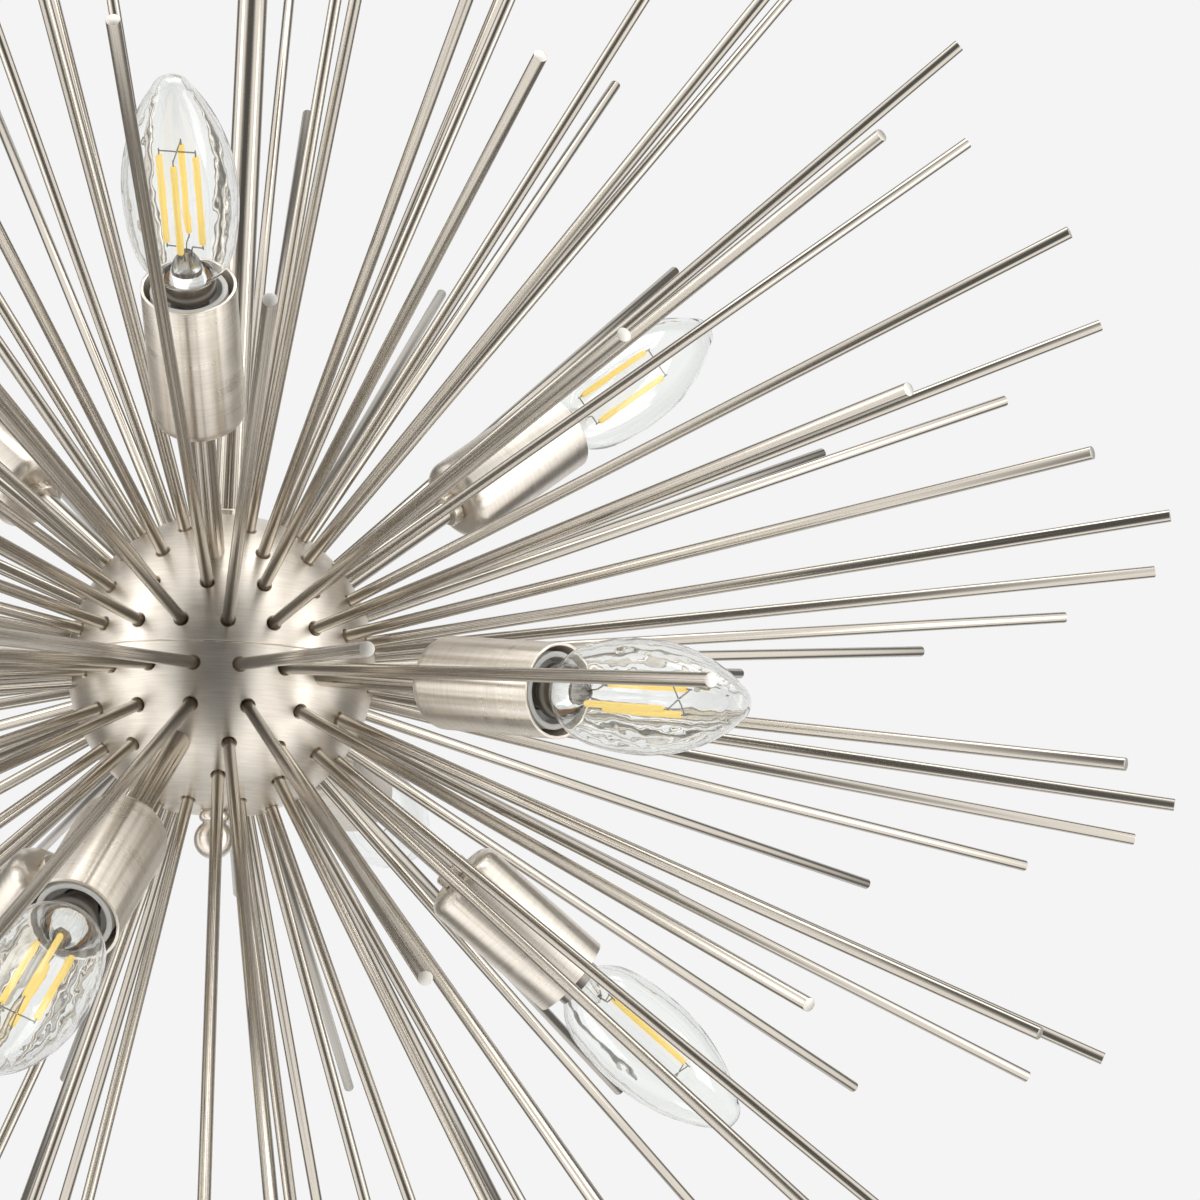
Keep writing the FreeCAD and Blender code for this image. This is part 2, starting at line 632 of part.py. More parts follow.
def make_drills(kind, half, ring, turned, count, outline):
    """Drills for holes of one ring, turned round the hub's axis from the first arm."""
    body = new_body("%s_drills_%s_%s" % (kind, half, ring), half_frame(half, turned))
    drill = revolve(body, outline, latitude_of(ring))
    round_pattern(body, [drill], count)
    return body


def make_rod_drills(half, ring):
    """Holes for a ring's rods, each with a countersink."""
    return make_drills("Rod", half, ring, half_step(ring), "slots_ring_" + ring, [
        ("0", "rod_start"),
        ("rod_hole_radius", "rod_start"),
        ("rod_hole_radius", "hub_radius - rod_hole_chamfer"),
        ("rod_hole_radius + 2 * rod_hole_chamfer", "hub_radius + rod_hole_chamfer"),
        ("0", "hub_radius + rod_hole_chamfer"),
    ])


def make_arm_drills(half, ring, turned):
    """Holes for one level of arms."""
    return make_drills("Arm", half, ring, turned, "arms_per_level", [
        ("0", "arm_start"),
        ("arm_hole_radius", "arm_start"),
        ("arm_hole_radius", "hub_radius + drill_overshoot"),
        ("0", "hub_radius + drill_overshoot"),
    ])


def arm_rings(half):
    """The rings of a hub half that carry arms, with the turn of their first arm."""
    rings = [("three", "0")]
    if half == "lower":
        rings.append(("one", "arm_turn_ring_one"))
    return rings


def make_hub_shell(half):
    """Spun half ball with a flat pole, its ring holes and the holes of its arms."""
    blank = new_body("Spun_" + half, half_frame(half))
    tie_hole = "tie_diameter / 2 + fitted_gap"
    revolve(blank, [
        ("hub_inner", "0"),
        ("hub_radius - seam_chamfer", "0"),
        ("sqrt(hub_radius ^ 2 - seam_chamfer ^ 2)", "seam_chamfer", "hub_radius", 1),
        ("hub_flat_radius", "hub_flat_height"),
        (tie_hole, "hub_flat_height"),
        (tie_hole, "hub_flat_height - hub_wall"),
        ("hub_inner_flat_radius", "hub_flat_height - hub_wall", "hub_inner", -1),
    ])
    tools = [make_rod_drills(half, ring) for ring in RINGS]
    tools += [make_arm_drills(half, ring, turned) for ring, turned in arm_rings(half)]
    return cut_from("hub_%s_shell" % half, blank, tools)


def make_tie_rod():
    """Hollow threaded rod through the hub, with a window where the wires leave it."""
    low = "ball_top - tie_in_finial"
    body = new_body("hub_tie_rod", placed(vector(0, 0, low), turn("Z", 0)))
    length = "stem_bottom + tie_in_stem - (%s)" % low
    pin(body, "AdditiveCylinder", "Rod", 0, length, Radius="tie_diameter / 2")
    pin(body, "SubtractiveCylinder", "Bore", 0, length, Radius="tie_bore / 2")
    window = body.newObject("PartDesign::SubtractiveBox", "Window")
    bind(window, "Length", "tie_diameter")
    bind(window, "Width", "tie_window_width")
    bind(window, "Height", "tie_window_height")
    bottom = "hub_level - tie_window_height / 2 - (%s)" % low
    bind(window, "Placement", placed(vector(0, "-tie_window_width / 2", bottom), turn("Z", 0)))
    body.Tip = window
    doc.recompute()
    return body


def make_finial_bead():
    """Round bead between the hub and the finial ball."""
    body = new_body("finial_bead", placed(vector(0, 0, "ball_top"), turn("Z", 0)))
    pin(body, "AdditiveCylinder", "Bead", 0, "bead_height", Radius="bead_diameter / 2")
    pin(body, "SubtractiveCylinder", "Thread", 0, "bead_height",
        Radius="tie_diameter / 2 + fitted_gap")
    return body


def make_finial_ball():
    """Ball screwed on the tie rod's lower end; it clamps the hub together."""
    body = new_body("finial_ball", placed(vector(0, 0, "ball_top - face_gap"), turn("Z", 0)))
    thread = "tie_diameter / 2 + running_gap"
    seat = "-ball_drop - ball_radius"
    blind = "-tie_in_finial - running_gap + face_gap"
    rim = "ball_drop - sqrt(ball_radius ^ 2 - (%s) ^ 2)" % thread
    revolve(body, [
        ("0", seat, "ball_radius", 1),
        ("ball_radius", "-ball_drop", "ball_radius", 1),
        (thread, "-(%s)" % rim),
        (thread, blind),
        ("0", blind),
    ])
    return body


# ---------------------------------------------------------------- rods and their nuts

def has_arms(half, ring):
    return ring == "three" or (half == "lower" and ring == "one")


def rod_frame(half, ring):
    """Half frame turned so that, on a ring with arms, an arm lies in the +X direction."""
    return half_frame(half, "arm_turn_ring_one" if (half, ring) == ("lower", "one") else "0")


def add_ring(body, half, ring, kind, name, start, length, **sizes):
    """One feature on a ring's first hole that takes a rod."""
    if has_arms(half, ring):
        azimuth = "360 / slots_ring_" + ring
    else:
        azimuth = half_step(ring)
    where = radial(start, latitude_of(ring), azimuth)
    return pin(body, kind, name + "_" + ring, 0, length, placement=where, **sizes)


def repeat_ring(body, half, ring, features):
    """The same features on every hole of the ring that takes a rod."""
    if has_arms(half, ring):
        return pattern_between_arms(body, features, "steps_ring_" + ring)
    return round_pattern(body, features, "slots_ring_" + ring)


def make_rods(half, ring):
    """All rods of one ring, each a plain straight bar."""
    number = RINGS.index(ring) + 1
    body = new_body("%s_rods_ring_%d" % (half, number), rod_frame(half, ring))
    rod = add_ring(body, half, ring, "AdditiveCylinder", "Rod", "rod_start", "rod_length",
                   Radius="rod_diameter / 2")
    repeat_ring(body, half, ring, [rod])
    return body


def make_ring_nuts(half, ring):
    """The lock nuts on the rods of one ring."""
    body = new_body("Nuts_%s_%s" % (half, ring), rod_frame(half, ring))
    start = "rod_nut_face - rod_nut_height"
    nut = add_ring(body, half, ring, "AdditivePrism", "Nut", start, "rod_nut_height",
                   Circumradius="rod_nut_corner")
    bore = add_ring(body, half, ring, "SubtractiveCylinder", "Bore", start, "rod_nut_height",
                    Radius="rod_diameter / 2 + fitted_gap")
    repeat_ring(body, half, ring, [nut, bore])
    return body


def make_rod_nuts(half):
    """The lock nuts of one half's rods, inside the hub."""
    group = doc.addObject("Part::Compound", "rod_lock_nuts_" + half)
    group.Label = "rod_lock_nuts_" + half
    group.Links = [make_ring_nuts(half, ring) for ring in RINGS]
    doc.recompute()
    return group


# ---------------------------------------------------------------- arms, cups, lampholders

# level: (hub half, ring, whether a knurled collar sits behind the cup)
LEVELS = {
    "upper": ("upper", "three", True),
    "middle": ("lower", "one", False),
    "lower": ("lower", "three", True),
}


def level_frame(level, extra="0"):
    """Frame of one level of arms: an arm lies over the +X direction."""
    half, ring, _ = LEVELS[level]
    base = "arm_turn_ring_one" if ring == "one" else "0"
    return half_frame(half, "%s + (%s)" % (base, extra))


def level_latitude(level):
    return latitude_of(LEVELS[level][1])


def make_level_group(name, level, steps):
    """The same turned piece on every arm of one level."""
    body = new_body(name, level_frame(level))
    piece = revolve(body, steps, level_latitude(level))
    round_pattern(body, [piece], "arms_per_level")
    return body


def make_arm_tubes(level):
    """Tubes with both ends turned down and threaded."""
    collar = "collar_height" if LEVELS[level][2] else "0"
    shoulder = "cup_back - " + collar
    return make_level_group("arm_tubes_" + level, level, [
        ("wire_bore / 2", "arm_start"),
        ("tie_diameter / 2", "arm_start"),
        ("tie_diameter / 2", "arm_seat"),
        ("arm_diameter / 2", "arm_seat"),
        ("arm_diameter / 2", shoulder),
        ("tie_diameter / 2", shoulder),
        ("tie_diameter / 2", "arm_end"),
        ("wire_bore / 2", "arm_end"),
    ])


def make_arm_nuts(half):
    """Lock nuts that hold the arms of one hub half from inside."""
    body = new_body("arm_lock_nuts_" + half, half_frame(half))
    for ring, azimuth in arm_rings(half):
        where = radial("arm_nut_face - arm_nut_height", latitude_of(ring), azimuth)
        nut = pin(body, "AdditivePrism", "Nut_" + ring, 0, "arm_nut_height",
                  placement=where, Circumradius="arm_nut_corner")
        bore = pin(body, "SubtractiveCylinder", "Bore_" + ring, 0, "arm_nut_height",
                   placement=where, Radius="tie_diameter / 2 + fitted_gap")
        round_pattern(body, [nut, bore], "arms_per_level")
    return body


def make_arm_collars(level):
    """Knurled collars behind the cups."""
    thread = "tie_diameter / 2 + fitted_gap"
    return make_level_group("arm_collars_" + level, level, [
        (thread, "cup_back - collar_height"),
        ("collar_diameter / 2", "cup_back - collar_height"),
        ("collar_diameter / 2", "cup_back"),
        (thread, "cup_back"),
    ])


def make_cups(level):
    """Deep spun cups, open at the front."""
    thread = "tie_diameter / 2 + fitted_gap"
    return make_level_group("lamp_cups_" + level, level, [
        (thread, "cup_back"),
        ("cup_radius - cup_corner", "cup_back", "cup_corner", 1),
        ("cup_radius", "cup_back + cup_corner"),
        ("cup_radius", "cup_rim"),
        ("cup_radius - cup_wall", "cup_rim"),
        ("cup_radius - cup_wall", "cup_back + cup_corner", "cup_inner_corner", -1),
        ("cup_radius - cup_corner", "boss_back"),
        (thread, "boss_back"),
    ])


def make_lampholders(level):
    """Moulded sockets: threaded boss, wiring space, contact floor, screw bore, wide mouth."""
    thread = "tie_diameter / 2 + fitted_gap"
    step = "boss_back + holder_boss_step"
    under = "socket_floor - holder_floor"
    return make_level_group("lampholders_" + level, level, [
        (thread, "boss_back"),
        ("holder_boss_radius", "boss_back"),
        ("holder_boss_radius", step),
        ("holder_radius", step),
        ("holder_radius", "holder_front"),
        ("holder_mouth_radius", "holder_front"),
        ("holder_mouth_radius", "holder_front - holder_mouth_depth"),
        ("socket_radius", "holder_front - holder_mouth_depth"),
        ("socket_radius", "socket_floor"),
        ("holder_wire_radius", "socket_floor"),
        ("holder_wire_radius", under),
        ("socket_radius", under),
        ("socket_radius", "arm_end"),
        (thread, "arm_end"),
    ])


# ---------------------------------------------------------------- lamps

def arm_axis_frame(level, index):
    """Frame of one arm: +Z runs out along the arm from the hub's centre."""
    half, ring, _ = LEVELS[level]
    base = "arm_turn_ring_one" if ring == "one" else "0"
    azimuth = "%s + %d * 360 / arms_per_level" % (base, index)
    lean = turn("Y", "90 - " + level_latitude(level))
    return placed(vector(0, 0, "hub_level"), half_turn(half, azimuth) + " * " + lean)


def make_lamp_cap(level, index):
    """Screw cap: centre contact, insulator, screw and wide skirt, hollow from above."""
    body = new_body("lamp_cap_%s_%d" % (level, index + 1), arm_axis_frame(level, index))
    inside = "screw_radius - cap_skin"
    neck = "skirt_radius - cap_skin"
    seat = "neck_bottom - fitted_gap"
    revolve(body, [
        ("0", "cap_tip"),
        ("contact_radius", "cap_tip"),
        ("contact_radius", "cap_tip + contact_length"),
        ("screw_radius", "screw_bottom"),
        ("screw_radius", "screw_top - skirt_flare"),
        ("skirt_radius", "screw_top"),
        ("skirt_radius", "skirt_top"),
        (neck, "skirt_top"),
        (neck, seat),
        (inside, seat),
        (inside, "screw_bottom"),
        ("0", "screw_bottom"),
    ])
    return body


def make_lamp_glass(level, index):
    """Candle-shaped glass: neck, shoulder, body and nose arcs, with a rounded tip."""
    body = new_body("lamp_glass_%s_%d" % (level, index + 1), arm_axis_frame(level, index))
    wall = "glass_thick"
    revolve(body, [
        ("neck_radius", "neck_bottom"),
        ("neck_radius", "skirt_top", "shoulder_curve", 1),
        ("bulb_shoulder_radius", "skirt_top + bulb_shoulder_at", "body_curve", 1),
        ("bulb_radius", "skirt_top + bulb_widest_at", "nose_curve", 1),
        ("nose_radius", "skirt_top + bulb_nose_at", "tip_curve", 1),
        ("tip_flat", "skirt_top + bulb_length"),
        ("0", "skirt_top + bulb_length"),
        ("0", "skirt_top + bulb_length - " + wall),
        ("tip_flat", "skirt_top + bulb_length - " + wall, "tip_curve - " + wall, -1),
        ("nose_radius - " + wall, "skirt_top + bulb_nose_at", "nose_curve - " + wall, -1),
        ("bulb_radius - " + wall, "skirt_top + bulb_widest_at", "body_curve - " + wall, -1),
        ("bulb_shoulder_radius - " + wall, "skirt_top + bulb_shoulder_at",
         "shoulder_curve - " + wall, -1),
        ("neck_radius - " + wall, "skirt_top"),
        ("neck_radius - " + wall, "neck_bottom"),
    ])
    return body


# ---------------------------------------------------------------- the whole object

def make_all():
    """Every piece of the chandelier, from the ceiling down."""
    parts = [make_crossbar(), make_canopy_studs(), make_canopy()]
    parts += [make_cap_nut("left", "-"), make_cap_nut("right", "")]
    parts += [make_nipple(), make_nipple_nut(), make_yoke(), make_pivot_screws(), make_barrel()]
    parts += [make_stem(), make_stem_collar()]
    parts += [make_tie_rod(), make_finial_bead(), make_finial_ball()]
    for half in ("upper", "lower"):
        parts.append(make_hub_shell(half))
        parts += [make_rods(half, ring) for ring in RINGS]
        parts.append(make_rod_nuts(half))
        parts.append(make_arm_nuts(half))
    for level, (_, _, collared) in LEVELS.items():
        parts += [make_arm_tubes(level), make_cups(level), make_lampholders(level)]
        if collared:
            parts.append(make_arm_collars(level))
        for index in range(int(value_of("arms_per_level"))):
            parts += [make_lamp_cap(level, index), make_lamp_glass(level, index)]
    return parts


def check_objects(parts):
    """Stop if any feature failed or any part has no valid solid."""
    for item in doc.Objects:
        bad = [state for state in item.State if state in ("Invalid", "Error")]
        if bad:
            raise RuntimeError("%s is %s" % (item.Label, ", ".join(bad)))
    for part in parts:
        if part.Shape.isNull() or not part.Shape.isValid() or not part.Shape.Solids:
            raise RuntimeError(part.Label + " has no valid solid")


parts = make_all()
doc.recompute()
check_objects(parts)
os.makedirs("parts", exist_ok=True)
for part in parts:
    part.Shape.exportStep("parts/%s.step" % part.Label)
    print("%-26s %3d solids %10.1f mm3" % (part.Label, len(part.Shape.Solids), part.Shape.Volume))
print(len(parts), "parts")
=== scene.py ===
"""Looks of a sputnik chandelier in satin nickel, with nine clear candle lamps.

The file is laid out as an add-on.  Property groups hold the sizes and colours, each group
of like pieces has an operator, and a panel in the 3D view's sidebar lists them all.
Lengths are metres in the frame of the solid model: +Z is up, and the origin lies on the
ceiling above the middle of the hub.
"""

import json
import math
from functools import partial

import bmesh
import bpy
from mathutils import Matrix, Vector


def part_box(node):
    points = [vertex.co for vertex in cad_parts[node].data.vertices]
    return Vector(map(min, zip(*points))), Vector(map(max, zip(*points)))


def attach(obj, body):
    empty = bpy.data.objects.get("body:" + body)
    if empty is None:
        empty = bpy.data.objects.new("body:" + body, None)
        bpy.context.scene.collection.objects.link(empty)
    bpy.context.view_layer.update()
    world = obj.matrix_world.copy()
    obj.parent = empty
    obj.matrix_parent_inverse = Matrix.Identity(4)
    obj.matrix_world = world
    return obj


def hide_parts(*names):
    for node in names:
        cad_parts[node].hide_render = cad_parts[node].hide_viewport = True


bl_info = {
    "name": "Sputnik chandelier",
    "version": (1, 0, 0),
    "blender": (4, 5, 0),
    "location": "3D View > Sidebar > Chandelier",
    "description": "Builds the visible pieces and finishes of a sputnik chandelier",
    "category": "Object",
}

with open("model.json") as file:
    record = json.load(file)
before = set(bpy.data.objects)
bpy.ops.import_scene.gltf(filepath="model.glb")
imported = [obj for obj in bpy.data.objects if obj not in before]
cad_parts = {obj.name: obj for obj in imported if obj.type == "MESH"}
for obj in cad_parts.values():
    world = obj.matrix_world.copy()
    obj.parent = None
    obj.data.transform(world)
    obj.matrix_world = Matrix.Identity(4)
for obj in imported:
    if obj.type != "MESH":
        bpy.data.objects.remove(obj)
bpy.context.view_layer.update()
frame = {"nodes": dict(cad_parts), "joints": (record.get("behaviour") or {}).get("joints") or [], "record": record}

MM = 0.001
MERGED = 0.001 * MM  # points nearer than this are one
UP = Vector((0, 0, 1))
HUB_CENTRE = Vector((0, 0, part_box("hub_upper_shell")[0][2]))
LEVELS = ("upper", "middle", "lower")
HALVES = ("upper", "lower")
HERE = (Matrix(),)  # the place of a piece that is made where it belongs

# Each ring of holes on a half of the hub, from the seam outward: the number of holes, and
# how far its first hole is turned on, as a share of the way to the next.
RINGS = ((21, 0.5), (16, 0), (15, 0), (9, 0.5), (7, 0.5))
# How far each half of the hub is turned round the stem.
HALF_TURN = {"upper": math.radians(-90), "lower": math.radians(18)}
# A hole holds an arm, and no rod, where the cosine between them is at least this.
SAME_HOLE = 0.999

# Most that the normal of an upright face points up or down, and least of a flat end's.
LEVEL_NORMAL = 0.1
END_NORMAL = 0.9

# Slot of the solid model and finish here, for pieces that look alike.
ZINC = ("zinc_plate", "bright_zinc")
GROUND_ROD = ("satin_nickel", "satin_nickel_rod")
GROUND_ROUND = ("satin_nickel", "satin_nickel_turned")
GROUND_HUB = ("satin_nickel", "satin_nickel_hub")

# The crest of a thread's ridge, as shares of the way from one groove to the next.
THREAD_CREST = (0.4, 0.6)

# The axis that a piece's points keep is tipped by a hair, so that it is never quite square
# to a flat end, and each copy's streaks are shifted, so that no two are the same.
TIPPED_AXIS = Vector((0.011, 0.017, 1))
COPY_SHIFT = Vector((0.37, 0.23, 0.71))

BODY_OF = {
    node: body
    for body, nodes in frame["record"]["behaviour"]["bodies"].items()
    for node in nodes
}


# ---------------------------------------------------------------- sizes and colours

def size(name, description, millimetres):
    """A length that a user may change, given here in millimetres and kept in metres."""
    return bpy.props.FloatProperty(
        name=name, description=description, default=millimetres * MM, unit="LENGTH")


def angle(name, description, degrees):
    """An angle that a user may change, given here in degrees and kept in radians."""
    return bpy.props.FloatProperty(
        name=name, description=description, default=math.radians(degrees), unit="ROTATION")


def linear(hex_colour):
    """The linear RGBA of an sRGB colour written as #RRGGBB."""
    channels = [int(hex_colour[start:start + 2], 16) / 255 for start in (1, 3, 5)]
    straight = [
        value / 12.92 if value <= 0.04045 else ((value + 0.055) / 1.055) ** 2.4
        for value in channels
    ]
    return (*straight, 1.0)


def colour(name, description, hex_colour):
    """A colour that a user may change, given here as an sRGB hex value."""
    return bpy.props.FloatVectorProperty(
        name=name, description=description, default=linear(hex_colour), subtype="COLOR",
        size=4, min=0.0, max=1.0)


class ChandelierCapNutSizes(bpy.types.PropertyGroup):
    """Sizes of the nuts under the canopy."""

    nut_radius: size("Nut radius", "Outer radius of a cap nut", 6.0)
    nut_dome: size("Nut dome", "Edge radius at a cap nut's closed end", 2.0)
    nut_thread: size("Nut thread", "Radius of a cap nut's threaded hole", 2.05)
    nut_floor: size("Nut floor", "Thickness of a cap nut's closed end", 2.0)


class ChandelierHubSizes(bpy.types.PropertyGroup):
    """Sizes of the stem, the hub, its rods and the finial."""

    hub_radius: size("Hub radius", "Outer radius of the hub", 51.0)
    hub_wall: size("Hub wall", "Sheet thickness of the hub", 1.5)
    first_latitude: angle("First latitude", "Latitude of the ring of rods next to the seam", 8)
    latitude_step: angle("Latitude step", "Latitude between one ring of rods and the next", 15)
    rod_radius: size("Rod radius", "Radius of a rod", 2.0)
    rod_start: size("Rod start", "Distance from the hub's centre to a rod's inner end", 44.0)
    rod_end: size("Rod end", "Distance from the hub's centre to a rod's outer end", 317.0)
    rod_edge: size("Rod edge", "Broken edge at a rod's sawn end", 0.18)
    stem_radius: size("Stem radius", "Outer radius of the down rod", 5.15)
    stem_bore: size("Stem bore", "Radius of the down rod's bore", 2.75)
    collar_radius: size("Collar radius", "Radius of the knurled collars", 6.25)
    collar_edge: size("Collar edge", "Chamfer of a knurled collar", 0.5)
    knurl_depth: size("Knurl depth", "Depth of the grooves of a knurl", 0.3)
    ridge_width: size("Ridge width", "Width of a ridge or a groove of a knurl", 1.25)
    bead_radius: size("Bead radius", "Radius of the finial's bead", 5.2)
    ball_radius: size("Ball radius", "Radius of the finial ball", 6.6)
    ball_seat: size("Ball seat", "Radius of the flat where the finial ball meets its bead", 3.9)


class ChandelierArmSizes(bpy.types.PropertyGroup):
    """Sizes of the arms, cups and lampholders; distances are from the hub's centre."""

    tube_radius: size("Tube radius", "Outer radius of an arm tube", 4.25)
    thread_radius: size("Thread radius", "Radius of the threaded ends of an arm tube", 3.95)
    thread_pitch: size("Thread pitch", "Pitch of the threads", 1.0)
    tube_bore: size("Tube bore", "Radius of an arm tube's bore", 2.75)
    tube_start: size("Tube start", "Inner end of an arm tube", 41.0)
    tube_seat: size("Tube seat", "Where an arm tube sits on the hub", 50.84)
    tube_end: size("Tube end", "Outer end of an arm tube, inside the lampholder", 115.0)
    collar_start: size("Collar start", "Inner face of the collar behind a cup", 102.0)
    cup_back: size("Cup back", "Back of a cup", 106.0)
    cup_rim: size("Cup rim", "Open rim of a cup", 158.0)
    cup_radius: size("Cup radius", "Outer radius of a cup", 14.75)
    cup_wall: size("Cup wall", "Sheet thickness of a cup", 1.0)
    cup_corner: size("Cup corner", "Outer radius of a cup's back edge", 4.5)
    cup_hole: size("Cup hole", "Radius of the hole in a cup's back", 4.0)
    boss_radius: size("Boss radius", "Radius of a lampholder's threaded boss", 8.0)
    boss_step: size("Boss step", "Where a lampholder's boss meets its wide part", 111.5)
    holder_radius: size("Lampholder radius", "Outer radius of a lampholder", 12.0)
    holder_front: size("Lampholder front", "Front face of a lampholder", 156.5)
    mouth_radius: size("Mouth radius", "Radius of the recess in a lampholder's front", 10.2)
    mouth_floor: size("Mouth floor", "Floor of that recess", 149.5)
    socket_radius: size("Socket radius", "Radius of the socket for the lamp's screw", 6.2)
    socket_floor: size("Socket floor", "Floor of that socket", 141.2)


class ChandelierLampSizes(bpy.types.PropertyGroup):
    """Sizes of a lamp; distances are from the hub's centre."""

    cap_tip: size("Cap tip", "Outer face of the centre contact", 141.5)
    contact_radius: size("Contact radius", "Radius of the centre contact", 2.2)
    screw_start: size("Screw start", "Inner end of the cap's screw", 144.5)
    screw_end: size("Screw end", "Outer end of the cap's screw", 155.5)
    screw_radius: size("Screw radius", "Radius of the cap's screw", 5.95)
    screw_pitch: size("Screw pitch", "Pitch of the cap's screw", 2.54)
    screw_depth: size("Screw depth", "Depth of the cap's thread", 0.6)
    skirt_start: size("Skirt start", "Inner end of the cap's skirt", 156.5)
    skirt_end: size("Skirt end", "Outer end of the cap's skirt", 162.0)
    skirt_radius: size("Skirt radius", "Radius of the cap's skirt", 8.6)
    skin: size("Cap skin", "Thickness of the cap's sheet", 0.5)
    neck_start: size("Neck start", "Inner end of the glass neck", 159.5)
    neck_radius: size("Neck radius", "Radius of the glass neck", 8.07)
    shoulder: size("Shoulder", "Outer end of the glass shoulder", 174.0)
    shoulder_radius: size("Shoulder radius", "Radius of the glass there", 15.7)
    shoulder_curve: size("Shoulder curve", "Curve radius of the glass shoulder", 20.5)
    widest: size("Widest place", "Where the glass is widest", 192.5)
    bulb_radius: size("Bulb radius", "Largest radius of the glass", 17.5)
    body_curve: size("Body curve", "Curve radius up to the widest place", 96.0)
    nose: size("Nose", "Where the rounded tip starts", 229.5)
    nose_radius: size("Nose radius", "Radius of the glass there", 6.15)
    nose_curve: size("Nose curve", "Curve radius from the widest place to the nose", 66.0)
    tip: size("Tip", "Tip of the glass", 233.5)
    tip_curve: size("Tip curve", "Curve radius of the rounded tip", 6.0)
    tip_flat: size("Tip flat", "Radius of the small flat at the very tip", 0.4)
    glass: size("Glass", "Thickness of the glass", 0.8)
    foot_top: size("Foot top", "Outer end of the glass foot inside the lamp", 171.5)
    filament_start: size("Filament start", "Inner end of the filaments", 174.0)
    filament_end: size("Filament end", "Outer end of the filaments", 206.0)
    filament_radius: size("Filament radius", "Radius of a filament", 1.05)
    filament_spread: size("Filament spread", "Distance of a filament from the lamp's axis", 5.6)
    wire_radius: size("Wire radius", "Radius of the lamp's support wires", 0.22)


class ChandelierColours(bpy.types.PropertyGroup):
    """Colours of the finishes."""

    nickel: colour("Satin nickel", "Brushed nickel plate on rods and tubes", "#BFB8AD")
    # The turned nickel is a lighter copy of the rods' satin nickel. It is painted sheen that stands in for the
    # bright highlights on the hub and the cups.
    nickel_turned_painted_sheen: colour(
        "Turned nickel", "Satin nickel on the hub, the cups and other turned pieces, ground "
        "brighter than the rods", "#E2DACE")
    nickel_end: colour("Sawn end", "Sawn and tumbled ends of the rods", "#DAD6CE")
    nickel_dark: colour("Lamp cap", "Nickel-plated brass cap of a lamp", "#A7A199")
    zinc: colour("Zinc plate", "Bright zinc on the fasteners", "#C3C7CA")
    # Lightened to stand in for the bright reflection on the lampholder's ring. This is painted highlight on top of
    # the moulding's own pale colour.
    moulding: colour("Lampholder", "Moulded lampholder", "#F0EFEC")
    glass: colour("Clear glass", "Blown glass of the lamps", "#FCFDFC")
    phosphor: colour("Filament", "Phosphor coat of the filaments", "#FFDE7A")
    wire: colour("Wire", "Nickel-iron support wires", "#8E8981")
    cement: colour("Cement", "Cement between cap and glass", "#C08A45")
    insulator: colour("Insulator", "Black glass round the centre contact", "#1C1A1C")
    floor: colour("Floor", "Pale floor under the chandelier", "#F9F9F8")
    backdrop: colour("Backdrop", "What the camera sees behind the chandelier", "#F4F4F4")


class ChandelierStageSizes(bpy.types.PropertyGroup):
    """Camera, floor and light."""

    camera_distance: size("Camera distance", "Camera to the hub's centre", 1249.5)
    camera_heading: angle("Heading", "Turn of the camera round the stem", 1.3)
    camera_pitch: angle("Pitch", "How far the camera looks up", 10.35)
    camera_roll: angle("Roll", "Lean of the camera to its side", 1.6)
    hub_across: bpy.props.FloatProperty(
        name="Hub across", description="Hub's centre right of the picture's middle, as a "
        "share of the picture's width", default=-0.31517)
    hub_up: bpy.props.FloatProperty(
        name="Hub up", description="Hub's centre above the picture's middle, as a share of "
        "the picture's width", default=-0.05513)
    lens: bpy.props.FloatProperty(
        name="Lens", description="Focal length in millimetres on a sensor 36 mm wide",
        default=111.84)
    floor_drop: size("Floor", "Floor below the ceiling", 2400.0)
    floor_radius: size("Floor radius", "Radius of the floor", 7000.0)


GROUPS = {
    "chandelier_cap_nut": ChandelierCapNutSizes,
    "chandelier_hub": ChandelierHubSizes,
    "chandelier_arm": ChandelierArmSizes,
    "chandelier_lamp": ChandelierLampSizes,
    "chandelier_colours": ChandelierColours,
    "chandelier_stage": ChandelierStageSizes,
}


# ---------------------------------------------------------------- materials

def add_node(tree, kind, inputs=None, **settings):
    """Add a shader node, set its properties, and give each input a value or a link."""
    node = tree.nodes.new("ShaderNode" + kind)
    for name, value in settings.items():
        setattr(node, name, value)
    for name, value in (inputs or {}).items():
        if isinstance(value, bpy.types.NodeSocket):
            tree.links.new(value, node.inputs[name])
        else:
            node.inputs[name].default_value = value
    return node


def streaks(add, across, along, detail=3.0):
    """Noise drawn out into streaks: across is the length round the piece's own axis, along
    the length on that axis.  A piece's own place is kept in the attribute "own_place"."""
    place = add("Attribute", attribute_name="own_place")
    drawn = add("Mapping", {
        "Vector": place.outputs["Vector"],
        "Scale": (1 / across, 1 / across, 1 / along),
    }, vector_type="POINT")
    noise = add("TexNoise", {
        "Vector": drawn.outputs["Vector"], "Scale": 1.0, "Detail": detail, "Roughness": 0.6})
    return noise.outputs["Fac"]


def ranged(add, value, low, high):
    """Turn a noise value, most of which lies from 0.3 to 0.7, into one from low to high."""
    node = add("MapRange", {
        "Value": value, "From Min": 0.3, "From Max": 0.7, "To Min": low, "To Max": high})
    return node.outputs["Result"]


def shaded(add, colour_value, value, low, high):
    """A colour made lighter and darker by a noise value."""
    amount = ranged(add, value, low, high)
    node = add("VectorMath", {0: colour_value[:3], "Scale": amount}, operation="SCALE")
    return node.outputs["Vector"]


